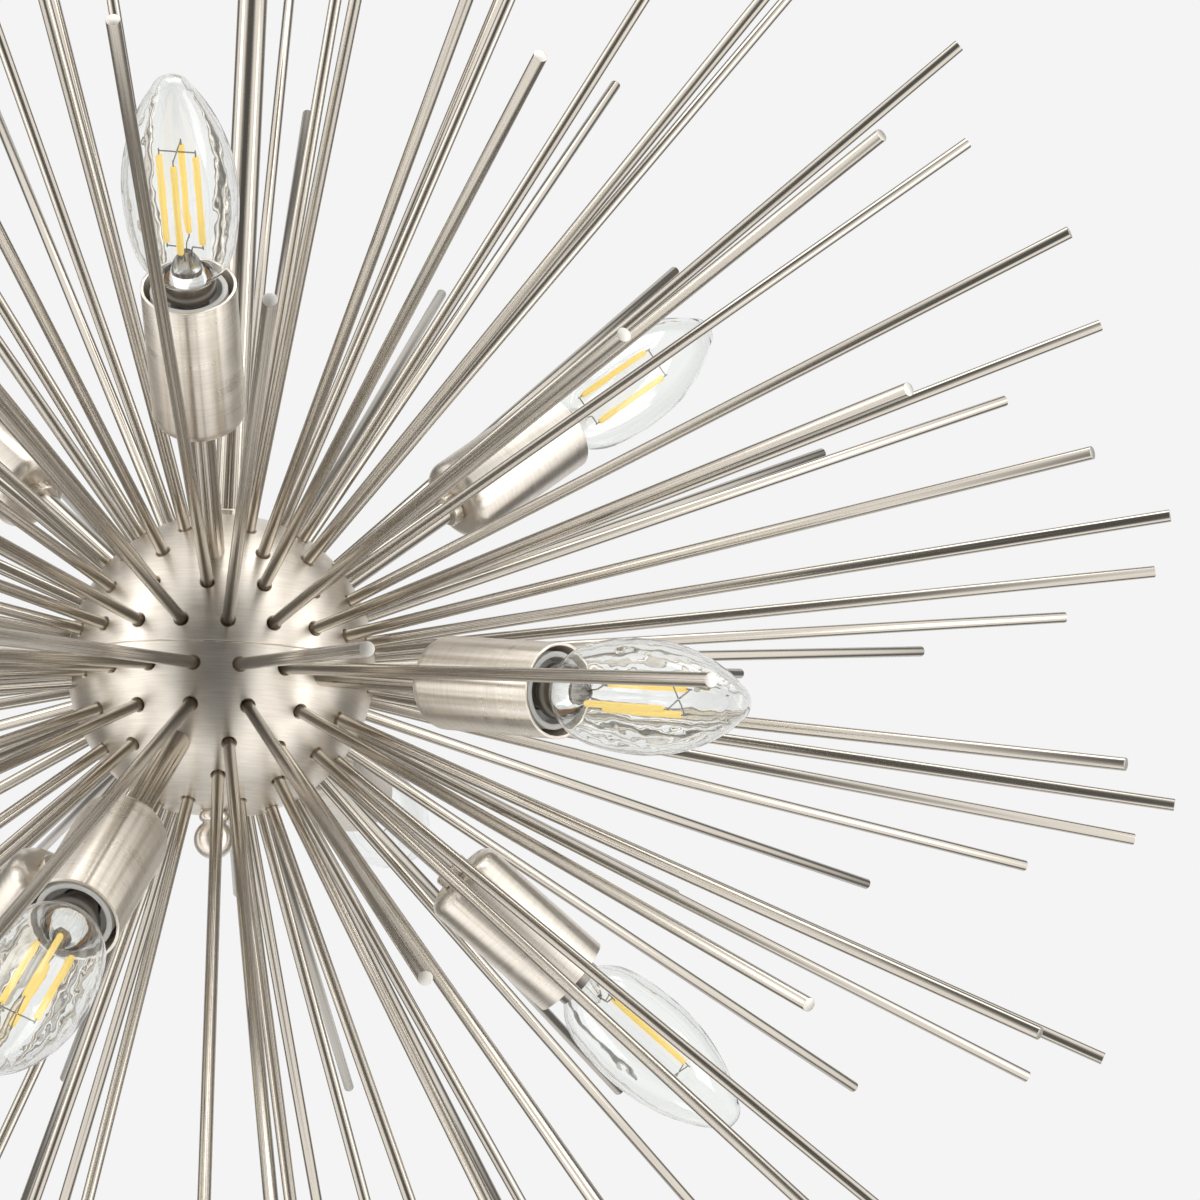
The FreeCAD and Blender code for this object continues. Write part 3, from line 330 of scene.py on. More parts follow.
def lengthwise(add):
    """The direction of a piece's own axis along its surface.

    The axis is kept in the attribute "own_axis".
    """
    axis = add("Attribute", attribute_name="own_axis")
    turned_axis = add("VectorTransform", {"Vector": axis.outputs["Vector"]},
                      vector_type="VECTOR", convert_from="OBJECT", convert_to="WORLD")
    facing = add("NewGeometry")
    side = add("VectorMath", {
        0: facing.outputs["Normal"], 1: turned_axis.outputs["Vector"],
    }, operation="CROSS_PRODUCT")
    along = add("VectorMath", {
        0: side.outputs["Vector"], 1: facing.outputs["Normal"],
    }, operation="CROSS_PRODUCT")
    return along.outputs["Vector"]


def brushed_metal(add, base, across, along, rough, drawn_out, depth):
    """Metal ground with a belt or wheel: fine streaks, and a gloss drawn out along the
    piece's own axis."""
    fine = streaks(add, across, along)
    broad = streaks(add, across * 3, along * 9, detail=2.0)
    bump = add("Bump", {"Strength": 0.35, "Distance": depth, "Height": fine})
    return add("BsdfPrincipled", {
        "Base Color": shaded(add, base, fine, low=0.9, high=1.06),
        "Metallic": 1.0,
        "Roughness": ranged(add, broad, low=rough - 0.04, high=rough + 0.04),
        "Anisotropic": drawn_out,
        "Tangent": lengthwise(add),
        "Normal": bump.outputs["Normal"],
    })


def plain_metal(add, base, grain, rough, depth):
    """Metal with a fine even grain, as from sawing, tumbling or plating."""
    fine = streaks(add, grain, grain)
    broad = streaks(add, grain * 12, grain * 12, detail=2.0)
    bump = add("Bump", {"Strength": 0.4, "Distance": depth, "Height": fine})
    return add("BsdfPrincipled", {
        "Base Color": shaded(add, base, broad, low=0.92, high=1.05),
        "Metallic": 1.0,
        "Roughness": ranged(add, fine, low=rough - 0.06, high=rough + 0.06),
        "Normal": bump.outputs["Normal"],
    })


def satin_nickel_rod(add, colours):
    """Satin nickel on drawn rod and tube: belt-ground lengthwise, so the bands of light
    along it stay crisp."""
    return brushed_metal(
        add, colours.nickel, across=0.9 * MM, along=60 * MM, rough=0.16,
        drawn_out=0.4, depth=0.001 * MM)


def satin_nickel_turned(add, colours):
    """Satin nickel on turned pieces: ground while they spin, with fine lines round them.

    The real lines lie some 0.05 mm apart; they are drawn coarser, so that they show."""
    # The base colour is the lighter copy of satin nickel, with painted sheen for the highlights.
    return brushed_metal(
        add, colours.nickel_turned_painted_sheen, across=12 * MM, along=0.5 * MM,
        rough=0.3, drawn_out=0.8, depth=0.004 * MM)


def satin_nickel_hub(add, colours):
    """Satin nickel on the hub: brushed round its vertical axis in long level strokes."""
    # The base colour is the lighter copy of satin nickel, with painted sheen for the highlights.
    return brushed_metal(
        add, colours.nickel_turned_painted_sheen, across=9 * MM, along=0.5 * MM,
        rough=0.34, drawn_out=0.85, depth=0.008 * MM)


def sawn_nickel(add, colours):
    """Sawn rod end, tumbled and plated: pale, even and matt."""
    return plain_metal(
        add, colours.nickel_end, grain=0.25 * MM, rough=0.45, depth=0.01 * MM)


def plated_brass_cap(add, colours):
    """Nickel-plated brass of a lamp's cap: darker and glossier than the satin nickel."""
    return plain_metal(
        add, colours.nickel_dark, grain=0.5 * MM, rough=0.22, depth=0.004 * MM)


def bright_zinc(add, colours):
    """Bright zinc plate on the crossbar and the nuts: bluish, with a faint cloudy grain."""
    return plain_metal(
        add, colours.zinc, grain=0.8 * MM, rough=0.33, depth=0.006 * MM)


def lead_wire(add, colours):
    """Nickel-iron wire: grey, drawn, dull."""
    return plain_metal(
        add, colours.wire, grain=0.3 * MM, rough=0.4, depth=0.003 * MM)


def moulded(add, base, rough, grain, depth, specular=0.5):
    """Matt moulded or cast material with a fine pitted skin."""
    fine = streaks(add, grain, grain)
    bump = add("Bump", {"Strength": 0.3, "Distance": depth, "Height": fine})
    return add("BsdfPrincipled", {
        "Base Color": shaded(add, base, fine, low=0.95, high=1.03),
        "Roughness": rough,
        "IOR": 1.5,
        "Specular IOR Level": specular,
        "Normal": bump.outputs["Normal"],
    })


def thermoset_moulding(add, colours):
    """Heat-proof thermoset of the lampholders: pale, partly from painted highlight, with a slight sheen and flow
    marks.
    """
    return moulded(
        add, colours.moulding, rough=0.38, grain=0.9 * MM, depth=0.02 * MM)


def basing_cement(add, colours):
    """Cement between cap and glass: tan, gritty and dull."""
    return moulded(
        add, colours.cement, rough=0.7, grain=0.5 * MM, depth=0.05 * MM,
        specular=0.3)


def cap_insulator(add, colours):
    """Black glass round the centre contact: moulded and glossy."""
    return moulded(
        add, colours.insulator, rough=0.15, grain=1.5 * MM, depth=0.02 * MM)


def phosphor_coat(add, colours):
    """Filament strip in silicone with yellow phosphor: matt and grainy, with a faint painted glow that makes it
    look bright.
    """
    grain = streaks(add, across=0.5 * MM, along=0.7 * MM)
    bump = add("Bump", {"Strength": 0.4, "Distance": 0.03 * MM, "Height": grain})
    return add("BsdfPrincipled", {
        "Base Color": shaded(add, colours.phosphor, grain, low=0.85, high=1.05),
        "Roughness": 0.6,
        "IOR": 1.41,
        # Painted glow: a faint emission that brightens the filaments.
        "Emission Color": colours.phosphor,
        "Emission Strength": 0.45,
        "Normal": bump.outputs["Normal"],
    })


def blown_glass(add, colours):
    """Thin blown glass: clear and glossy, with the slow waves of a blown wall."""
    waves = streaks(add, across=7 * MM, along=9 * MM, detail=1.0)
    ripples = streaks(add, across=2.2 * MM, along=3.5 * MM, detail=1.0)
    height = add("Math", {0: ripples, 1: 0.08, 2: waves}, operation="MULTIPLY_ADD")
    bump = add("Bump", {
        "Strength": 1.0, "Distance": 0.06 * MM, "Height": height.outputs["Value"]})
    return add("BsdfPrincipled", {
        "Base Color": colours.glass,
        "Roughness": 0.0,
        "IOR": 1.5,
        "Transmission Weight": 1.0,
        "Normal": bump.outputs["Normal"],
    })


def matt_paper_floor(add, colours):
    """Matt paper: white, with cloudy patches too faint to show as a pattern."""
    place = add("TexCoord")
    noise = add("TexNoise", {
        "Vector": place.outputs["Object"], "Scale": 40.0, "Detail": 4.0})
    return add("BsdfPrincipled", {
        "Base Color": shaded(add, colours.floor, noise.outputs["Fac"], low=0.985, high=1.0),
        "Roughness": 0.9,
    })


FINISHES = {maker.__name__: maker for maker in (
    satin_nickel_rod, satin_nickel_turned, satin_nickel_hub, sawn_nickel, plated_brass_cap,
    bright_zinc, lead_wire, thermoset_moulding, basing_cement, cap_insulator,
    phosphor_coat, blown_glass, matt_paper_floor)}


def finish(context, name):
    """The material of that name, made when it is first asked for."""
    if name not in bpy.data.materials:
        material = bpy.data.materials.new(name)
        material.use_nodes = True
        material.node_tree.nodes.clear()
        add = partial(add_node, material.node_tree)
        shader = FINISHES[name](add, context.scene.chandelier_colours)
        add("OutputMaterial", {"Surface": shader.outputs["BSDF"]})
    return bpy.data.materials[name]


# ---------------------------------------------------------------- mesh helpers

LEFT = 1
RIGHT = -1


def arc(start, end, radius, centre_side, pieces=10):
    """Points after start up to end on an arc of that radius, in the (radius, height) plane.

    The arc's centre lies left or right of the way from start to end.
    """
    first = Vector(start)
    last = Vector(end)
    along = last - first
    away = Vector((-along.y, along.x)).normalized()
    reach = math.sqrt(max(radius ** 2 - (along.length / 2) ** 2, 0.0))
    centre = (first + last) / 2 + away * centre_side * reach
    arm = first - centre
    sweep = 2 * math.asin(min(along.length / 2 / radius, 1.0)) * centre_side
    return [
        tuple(centre + Matrix.Rotation(sweep * step / pieces, 2) @ arm)
        for step in range(1, pieces + 1)
    ]


def turned(outline, sides, closed=True):
    """A mesh turned round the Z axis from an outline of (radius, height) points."""
    bm = bmesh.new()
    points = [bm.verts.new((radius, 0, height)) for radius, height in outline]
    for first, second in zip(points, points[1:]):
        bm.edges.new((first, second))
    if closed:
        bm.edges.new((points[-1], points[0]))
    bmesh.ops.spin(
        bm, geom=bm.verts[:] + bm.edges[:], cent=(0, 0, 0), axis=(0, 0, 1),
        angle=math.tau, steps=sides, use_merge=True)
    bmesh.ops.remove_doubles(bm, verts=bm.verts, dist=MERGED)
    bmesh.ops.recalc_face_normals(bm, faces=bm.faces)
    return bm


def ease_edges(bm, width, angle=math.radians(40)):
    """Round every edge where two faces meet at more than that angle."""
    bmesh.ops.dissolve_limit(
        bm, angle_limit=math.radians(0.5), verts=bm.verts, edges=bm.edges, delimit={"NORMAL"})
    sharp = [
        edge for edge in bm.edges
        if len(edge.link_faces) == 2 and edge.calc_face_angle() > angle
    ]
    bmesh.ops.bevel(
        bm, geom=sharp, offset=width, offset_type="OFFSET", segments=2, profile=0.5,
        affect="EDGES", material=-1, clamp_overlap=True)


def shade_smooth(bm, angle=math.radians(30)):
    """Shade faces smooth, but keep edges sharp where they meet at more than that angle."""
    for face in bm.faces:
        face.smooth = True
    for edge in bm.edges:
        if len(edge.link_faces) == 2 and edge.calc_face_angle() > angle:
            edge.smooth = False


def threads(radius, depth, pitch, start, end):
    """Outline points of a thread's ridges and grooves, from height start up to end."""
    count = max(int((end - start) / pitch), 1)
    step = (end - start) / count
    points = []
    for number in range(count):
        bottom = start + number * step
        points.append((radius - depth, bottom))
        points += [(radius, bottom + step * share) for share in THREAD_CREST]
    return points + [(radius - depth, end)]


def knurl_sides(sizes, radius):
    """Number of faces round a knurled piece: ridges and grooves in turn."""
    return 2 * int(math.pi * radius / sizes.ridge_width)


def knurl(bm, radius, depth):
    """Press a groove into every second face of a turned piece's outermost band."""
    nearly_out = radius * 0.98
    slope_width = depth * 0.4

    def middle(face):
        return face.calc_center_median().xy

    band = [
        face for face in bm.faces
        if abs(face.normal.z) < LEVEL_NORMAL and middle(face).length > nearly_out
    ]
    band.sort(key=lambda face: math.atan2(middle(face).y, middle(face).x))
    bmesh.ops.inset_individual(
        bm, faces=band[::2], thickness=slope_width, depth=-depth, use_even_offset=True)


def knurled_collar(sizes, bottom, top, bore):
    """Ring with chamfered edges and straight ridges round it."""
    radius = sizes.collar_radius
    edge = sizes.collar_edge
    collar = turned([
        (bore, bottom), (radius - edge, bottom), (radius, bottom + edge),
        (radius, top - edge), (radius - edge, top), (bore, top),
    ], sides=knurl_sides(sizes, radius))
    knurl(collar, radius, sizes.knurl_depth)
    return collar


def stamp(target, piece, place, number=0):
    """Add a placed copy of a piece to the target mesh.

    Each point keeps where it lay in the piece, and the direction of the piece's axis.
    """
    copy = piece.copy()
    own_place = copy.verts.layers.float_vector.new("own_place")
    own_axis = copy.verts.layers.float_vector.new("own_axis")
    axis = place.to_3x3() @ TIPPED_AXIS
    shift = COPY_SHIFT * number
    for vert in copy.verts:
        vert[own_place] = vert.co + shift
        vert[own_axis] = axis
    copy.transform(place)
    mesh = bpy.data.meshes.new("stamp")
    copy.to_mesh(mesh)
    copy.free()
    target.from_mesh(mesh)
    bpy.data.meshes.remove(mesh)


def merged_copy(node):
    """The faces of a node of the solid model, with their shared corners joined."""
    bm = bmesh.new()
    bm.from_mesh(frame["nodes"][node].data)
    bmesh.ops.remove_doubles(bm, verts=bm.verts, dist=MERGED)
    for face in bm.faces:
        face.material_index = 0
    return bm


def add_object(context, name, bm, finishes):
    """Put a mesh into the scene with its finishes."""
    mesh = bpy.data.meshes.new(name)
    bm.to_mesh(mesh)
    bm.free()
    for finish_name in finishes:
        mesh.materials.append(finish(context, finish_name))
    thing = bpy.data.objects.new(name, mesh)
    context.collection.objects.link(thing)
    return thing


def add_piece(context, node, shape, places, slot, *finishes):
    """Show a copy of a shape at each place, as one piece that stands for a node.

    The piece rides where the node does.  The shape itself is freed.
    """
    copies = bmesh.new()
    for number, place in enumerate(places):
        stamp(copies, shape, place, number)
    shape.free()
    shade_smooth(copies)
    piece = add_object(context, "finished_" + node, copies, finishes)
    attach(piece, BODY_OF[node])
    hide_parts(node)
    return piece


def dress_copy(context, node, slot, finish_name, edge=0.0):
    """Show the solid model's own shape with eased edges and a finish."""
    bm = merged_copy(node)
    if edge:
        ease_edges(bm, width=edge)
    middle = upright_middle(node)
    bm.transform(middle.inverted())
    return add_piece(context, node, bm, [middle], slot, finish_name)


# ---------------------------------------------------------------- places

def heights(node):
    """Heights of a node's lowest and highest point."""
    low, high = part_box(node)
    return low[2], high[2]


def upright_middle(node):
    """Where a piece lies that was made on Z, and stands upright in the middle of a node."""
    low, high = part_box(node)
    return Matrix.Translation(Vector(((low[0] + high[0]) / 2, (low[1] + high[1]) / 2, 0)))


def pointing(direction):
    """Where a piece lies that was made along Z from the hub's centre."""
    turn = Vector(direction).to_track_quat("Z", "Y").to_matrix().to_4x4()
    return Matrix.Translation(HUB_CENTRE) @ turn


def arm_directions(level):
    """Directions of a level's three arms, from the axes that its lamps turn on."""
    names = ["lamp_%s_%d_turn" % (level, number) for number in (1, 2, 3)]
    axes = {joint["name"]: joint["axis"] for joint in frame["joints"]}
    return [Vector(axes[name]) for name in names]


def arm_places(level):
    """Where the pieces of a level's three arms lie."""
    return [pointing(direction) for direction in arm_directions(level)]


def rod_directions(half, ring):
    """Directions of the rods of one ring.  The arms take three holes of some rings."""
    count, shift = RINGS[ring]
    sizes = bpy.context.scene.chandelier_hub
    latitude = sizes.first_latitude + ring * sizes.latitude_step
    half_turn = Matrix.Rotation(HALF_TURN[half], 3, "Z")
    if half == "lower":
        half_turn = half_turn @ Matrix.Rotation(math.pi, 3, "X")
    arms = [axis for level in LEVELS for axis in arm_directions(level)]
    directions = []
    for hole in range(count):
        turn = Matrix.Rotation((hole + shift) * math.tau / count, 3, "Z")
        lean = Matrix.Rotation(math.pi / 2 - latitude, 3, "Y")
        direction = half_turn @ turn @ lean @ UP
        if all(direction.dot(arm) < SAME_HOLE for arm in arms):
            directions.append(direction)
    return directions


# ---------------------------------------------------------------- operators

class CHANDELIER_OT_ceiling_plate(bpy.types.Operator):
    """Mounting crossbar, studs, canopy and cap nuts"""

    bl_idname = "chandelier.ceiling_plate"
    bl_label = "Ceiling plate and canopy"

    def execute(self, context):
        dress_copy(context, "mounting_crossbar", *ZINC, edge=0.2 * MM)
        dress_copy(context, "ceiling_canopy", *GROUND_ROUND)
        dress_copy(context, "canopy_studs", *ZINC)
        for node in ("canopy_cap_nut_left", "canopy_cap_nut_right"):
            nut = self.make_cap_nut(context.scene, *heights(node))
            add_piece(context, node, nut, [upright_middle(node)], *GROUND_ROUND)
        return {"FINISHED"}

    def make_cap_nut(self, scene, bottom, top):
        """Round blind nut with a rounded closed end and straight ridges round it."""
        sizes = scene.chandelier_cap_nut
        hub = scene.chandelier_hub
        flat = (sizes.nut_radius - sizes.nut_dome, bottom)
        side = (sizes.nut_radius, bottom + sizes.nut_dome)
        floor = bottom + sizes.nut_floor
        nut = turned([
            (0, bottom), flat, *arc(flat, side, sizes.nut_dome, LEFT, pieces=5),
            (sizes.nut_radius, top), (sizes.nut_thread, top),
            (sizes.nut_thread, floor), (0, floor),
        ], sides=knurl_sides(hub, sizes.nut_radius), closed=False)
        knurl(nut, sizes.nut_radius, hub.knurl_depth)
        return nut


class CHANDELIER_OT_swivel(bpy.types.Operator):
    """Nipple, nut, yoke, pivot screws and barrel of the swivel"""

    bl_idname = "chandelier.swivel"
    bl_label = "Swivel"

    def execute(self, context):
        dress_copy(context, "swivel_nipple", *ZINC)
        dress_copy(context, "swivel_nipple_nut", *ZINC, edge=0.25 * MM)
        dress_copy(context, "swivel_yoke", *GROUND_ROUND, edge=0.3 * MM)
        dress_copy(context, "swivel_barrel", *GROUND_ROUND, edge=0.3 * MM)
        dress_copy(context, "swivel_pivot_screws", *ZINC, edge=0.2 * MM)
        return {"FINISHED"}


class CHANDELIER_OT_stem(bpy.types.Operator):
    """Down rod and the knurled collar at its foot"""

    bl_idname = "chandelier.stem"
    bl_label = "Stem"

    def execute(self, context):
        sizes = context.scene.chandelier_hub
        bottom, top = heights("stem")
        stem = turned([
            (sizes.stem_bore, bottom), (sizes.stem_radius, bottom),
            (sizes.stem_radius, top), (sizes.stem_bore, top),
        ], sides=64)
        ease_edges(stem, width=0.25 * MM)
        add_piece(context, "stem", stem, HERE, *GROUND_ROD)
        collar = knurled_collar(sizes, *heights("stem_collar"), sizes.stem_bore)
        add_piece(context, "stem_collar", collar, HERE, *GROUND_ROUND)
        return {"FINISHED"}


class CHANDELIER_OT_hub(bpy.types.Operator):
    """Two drilled half shells of the hub, the tie rod and the lock nuts inside"""

    bl_idname = "chandelier.hub"
    bl_label = "Hub"

    # A corner of a shell lies on its round faces if it is as near to them as this.
    ON_BALL = 0.01 * MM

    def execute(self, context):
        sizes = context.scene.chandelier_hub
        middle = Matrix.Translation(HUB_CENTRE)
        for half in HALVES:
            node = "hub_%s_shell" % half
            shell = merged_copy(node)
            shell.transform(middle.inverted())
            piece = add_piece(context, node, shell, [middle], *GROUND_HUB)
            self.round_normals(piece.data, sizes)
            dress_copy(context, "rod_lock_nuts_" + half, *ZINC)
            dress_copy(context, "arm_lock_nuts_" + half, *ZINC)
        dress_copy(context, "hub_tie_rod", *ZINC)
        return {"FINISHED"}

    def round_normals(self, mesh, sizes):
        """Let faces that lie on the ball shade as one round surface."""
        reaches = [(vert.co - HUB_CENTRE).length for vert in mesh.vertices]
        normals = [None] * len(mesh.loops)
        for face in mesh.polygons:
            for radius, sign in ((sizes.hub_radius, 1), (sizes.hub_radius - sizes.hub_wall, -1)):
                if all(abs(reaches[index] - radius) < self.ON_BALL for index in face.vertices):
                    for loop, index in zip(face.loop_indices, face.vertices):
                        away = mesh.vertices[index].co - HUB_CENTRE
                        normals[loop] = away.normalized() * sign
        for index, normal in enumerate(normals):
            if normal is None:
                normals[index] = Vector(mesh.corner_normals[index].vector)
        mesh.normals_split_custom_set(normals)


class CHANDELIER_OT_finial(bpy.types.Operator):
    """Bead and ball under the hub"""

    bl_idname = "chandelier.finial"
    bl_label = "Finial"

    def execute(self, context):
        sizes = context.scene.chandelier_hub
        bottom, top = heights("finial_bead")
        waist = sizes.bead_radius - (top - bottom) / 2
        middle = (sizes.bead_radius, (bottom + top) / 2)
        curve = top - middle[1]
        bead = turned([
            (sizes.stem_bore, bottom), (waist, bottom),
            *arc((waist, bottom), middle, curve, LEFT),
            *arc(middle, (waist, top), curve, LEFT),
            (sizes.stem_bore, top),
        ], sides=48)
        add_piece(context, "finial_bead", bead, HERE, *GROUND_ROUND)
        bottom, top = heights("finial_ball")
        centre = top - math.sqrt(sizes.ball_radius ** 2 - sizes.ball_seat ** 2)
        equator = (sizes.ball_radius, centre)
        pole = (0, centre - sizes.ball_radius)
        ball = turned([
            (0, top), (sizes.ball_seat, top),
            *arc((sizes.ball_seat, top), equator, sizes.ball_radius, RIGHT),
            *arc(equator, pole, sizes.ball_radius, RIGHT, pieces=16),
        ], sides=64, closed=False)
        add_piece(context, "finial_ball", ball, HERE, *GROUND_ROUND)
        return {"FINISHED"}


class CHANDELIER_OT_rods(bpy.types.Operator):
    """Five rings of straight rods on each half of the hub"""

    bl_idname = "chandelier.rods"
    bl_label = "Rods"

    def execute(self, context):
        sizes = context.scene.chandelier_hub
        for half in HALVES:
            for ring in range(len(RINGS)):
                rod = turned([
                    (0, sizes.rod_start), (sizes.rod_radius, sizes.rod_start),
                    (sizes.rod_radius, sizes.rod_end), (0, sizes.rod_end),
                ], sides=28, closed=False)
                for face in rod.faces:
                    face.material_index = 1 if abs(face.normal.z) > END_NORMAL else 0
                ease_edges(rod, sizes.rod_edge)
                places = [pointing(direction) for direction in rod_directions(half, ring)]
                node = "%s_rods_ring_%d" % (half, ring + 1)
                add_piece(context, node, rod, places, *GROUND_ROD, "sawn_nickel")
        return {"FINISHED"}


class CHANDELIER_OT_arms(bpy.types.Operator):
    """Arm tubes with threaded ends, and the knurled collars behind the cups"""

    bl_idname = "chandelier.arms"
    bl_label = "Arms"

    # Depth of a tube's thread, as a share of its pitch.
    THREAD_DEPTH = 0.3

    def execute(self, context):
        sizes = context.scene.chandelier_arm
        depth = sizes.thread_pitch * self.THREAD_DEPTH
        ends = ((sizes.tube_start, sizes.tube_seat), (sizes.cup_back, sizes.tube_end))
        inner_thread, outer_thread = (
            threads(sizes.thread_radius, depth, sizes.thread_pitch, *end) for end in ends)
        for level in LEVELS:
            tube = turned([
                (sizes.tube_bore, sizes.tube_start), *inner_thread,
                (sizes.tube_radius, sizes.tube_seat), (sizes.tube_radius, sizes.cup_back),
                *outer_thread, (sizes.tube_bore, sizes.tube_end),
            ], sides=48)
            add_piece(context, "arm_tubes_" + level, tube, arm_places(level), *GROUND_ROD)
            if level != "middle":
                collar = knurled_collar(context.scene.chandelier_hub, sizes.collar_start,
                                        sizes.cup_back, sizes.tube_radius)
                add_piece(context, "arm_collars_" + level, collar, arm_places(level),
                          *GROUND_ROUND)
        return {"FINISHED"}


class CHANDELIER_OT_cups(bpy.types.Operator):
    """Open cups that cover the lampholders"""

    bl_idname = "chandelier.cups"
    bl_label = "Cups"

    def execute(self, context):
        sizes = context.scene.chandelier_arm
        outer = sizes.cup_radius
        inner = outer - sizes.cup_wall
        back = sizes.cup_back
        floor = back + sizes.cup_wall
        corner = sizes.cup_corner
        inner_corner = corner - sizes.cup_wall
        for level in LEVELS:
            cup = turned([
                (sizes.cup_hole, back), (outer - corner, back),
                *arc((outer - corner, back), (outer, back + corner), corner, LEFT),
                (outer, sizes.cup_rim), (inner, sizes.cup_rim), (inner, floor + inner_corner),
                *arc((inner, floor + inner_corner), (inner - inner_corner, floor),
                     inner_corner, RIGHT),
                (sizes.cup_hole, floor),
            ], sides=96)
            ease_edges(cup, width=0.15 * MM)
            add_piece(context, "lamp_cups_" + level, cup, arm_places(level), *GROUND_ROUND)
        return {"FINISHED"}


class CHANDELIER_OT_lampholders(bpy.types.Operator):
    """Moulded lampholders inside the cups"""

    bl_idname = "chandelier.lampholders"
    bl_label = "Lampholders"

    def execute(self, context):
        sizes = context.scene.chandelier_arm
        back = sizes.cup_back + sizes.cup_wall
        for level in LEVELS:
            holder = turned([
                (sizes.thread_radius, back), (sizes.boss_radius, back),
                (sizes.boss_radius, sizes.boss_step), (sizes.holder_radius, sizes.boss_step),
                (sizes.holder_radius, sizes.holder_front),
                (sizes.mouth_radius, sizes.holder_front),
                (sizes.mouth_radius, sizes.mouth_floor),
                (sizes.socket_radius, sizes.mouth_floor),
                (sizes.socket_radius, sizes.socket_floor),
                (sizes.thread_radius, sizes.socket_floor),
            ], sides=72)
            ease_edges(holder, width=0.3 * MM)
            add_piece(context, "lampholders_" + level, holder, arm_places(level),
                      "lampholder_moulding", "thermoset_moulding")
        return {"FINISHED"}


class CHANDELIER_OT_lamps(bpy.types.Operator):
    """Candle lamps: screw cap, clear glass, glass foot, wires and four filaments"""

    bl_idname = "chandelier.lamps"
    bl_label = "Lamps"

    # How far the filaments of each level's lamps stand turned round the lamp's axis.
    FILAMENT_TURN = {
        "upper": math.radians(85), "middle": math.radians(40), "lower": math.radians(60)}
    CONTACT_HEIGHT = 1.2 * MM
    # Play between the cap's inner faces, the cement and the glass.
    PLAY = 0.1 * MM
    # The glass foot from the neck up: radii as shares of the neck's inner radius, and how
    # far its bell ends above the neck's start, and its waist and pinch below the foot's top.
    FOOT_SHARES = (0.8, 0.74, 0.55, 0.28)
    BELL_HEIGHT = 4 * MM
    WAIST_DROP = 4 * MM
    PINCH_DROP = 1 * MM
    # The ring of cement: inner radius as a share of the neck's, and its inner and outer rise.
    CEMENT_SHARE = 0.82
    CEMENT_RISE = (1.2 * MM, 1.6 * MM)
    FILAMENTS = 4
    # A filament's wires: how deep they sit in its strip, how far they stand out of its outer
    # and inner end, how far past the strips they meet, and where they bend and enter the
    # foot, as distances out from the lamp's axis and back from the strip and the foot's top.
    WIRE_SEAT = 1 * MM
    OUTER_LEAD = 2.2 * MM
    INNER_LEAD = 1.8 * MM
    STAR_RISE = 1.4 * MM
    BEND = (2.4 * MM, 1.2 * MM)
    ROOT = (1.3 * MM, 3 * MM)
    # Finishes of the parts inside, and the places in this row that sticks and cement take.
    WORKS_FINISHES = ("blown_glass", "basing_cement", "phosphor_coat", "lead_wire")
    CEMENT = 1
    STRIP = 2
    WIRE = 3

    def execute(self, context):
        sizes = context.scene.chandelier_lamp
        for level in LEVELS:
            for number, place in enumerate(arm_places(level), start=1):
                name = "%s_%d" % (level, number)
                add_piece(context, "lamp_cap_" + name, self.make_cap(sizes), [place],
                          "lamp_cap_nickel", "plated_brass_cap", "cap_insulator")
                add_piece(context, "lamp_glass_" + name, self.make_glass(sizes), [place],
                          "clear_glass", "blown_glass")
                self.add_works(context, level, name, sizes, place)
        return {"FINISHED"}

    def make_cap(self, sizes):
        """Screw cap: contact, black insulator, thread and skirt."""
        contact = sizes.cap_tip + self.CONTACT_HEIGHT
        root = sizes.screw_radius - sizes.screw_depth
        rim = sizes.skirt_radius
        floor = sizes.neck_start - self.PLAY
        cap = turned([
            (0, sizes.cap_tip), (sizes.contact_radius, sizes.cap_tip),
            (sizes.contact_radius, contact), (root, sizes.screw_start),
            *threads(sizes.screw_radius, sizes.screw_depth, sizes.screw_pitch,
                     sizes.screw_start, sizes.screw_end),
            (rim, sizes.skirt_start), (rim, sizes.skirt_end),
            (rim - sizes.skin, sizes.skirt_end), (rim - sizes.skin, floor), (0, floor),
        ], sides=72, closed=False)
        for face in cap.faces:
            if contact < face.calc_center_median().z < sizes.screw_start:
                face.material_index = 1
        return cap

    def make_glass(self, sizes):
        """Blown glass with an even wall, open at its neck."""
        wall = sizes.glass

        def side(inward):
            """One face of the wall, from the neck to the tip."""
            arcs = (
                (sizes.shoulder_curve, sizes.shoulder_radius - inward, sizes.shoulder, 10),
                (sizes.body_curve, sizes.bulb_radius - inward, sizes.widest, 14),
                (sizes.nose_curve, sizes.nose_radius - inward, sizes.nose, 24),
                (sizes.tip_curve, sizes.tip_flat, sizes.tip - inward, 8),
            )
            neck = sizes.neck_radius - inward
            points = [(neck, sizes.neck_start), (neck, sizes.skirt_end)]
            for curve, radius, height, pieces in arcs:
                points += arc(points[-1], (radius, height), curve - inward, LEFT, pieces)
            return points

        inside = [(0, sizes.tip - wall), *reversed(side(wall))]
        outside = [*side(0), (0, sizes.tip)]
        return turned(inside + outside, sides=96, closed=False)

    def add_works(self, context, level, name, sizes, place):
        """The parts inside a lamp: foot, cement, wires and filaments."""
        works = bmesh.new()
        for part in (self.make_foot(sizes), self.make_cement(sizes)):
            stamp(works, part, place)
            part.free()
        for number in range(self.FILAMENTS):
            turn = self.FILAMENT_TURN[level] + number * math.tau / self.FILAMENTS
            self.add_filament(works, turn, sizes, place)
        shade_smooth(works)
        piece = add_object(context, "lamp_works_" + name, works, self.WORKS_FINISHES)
        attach(piece, BODY_OF["lamp_glass_" + name])

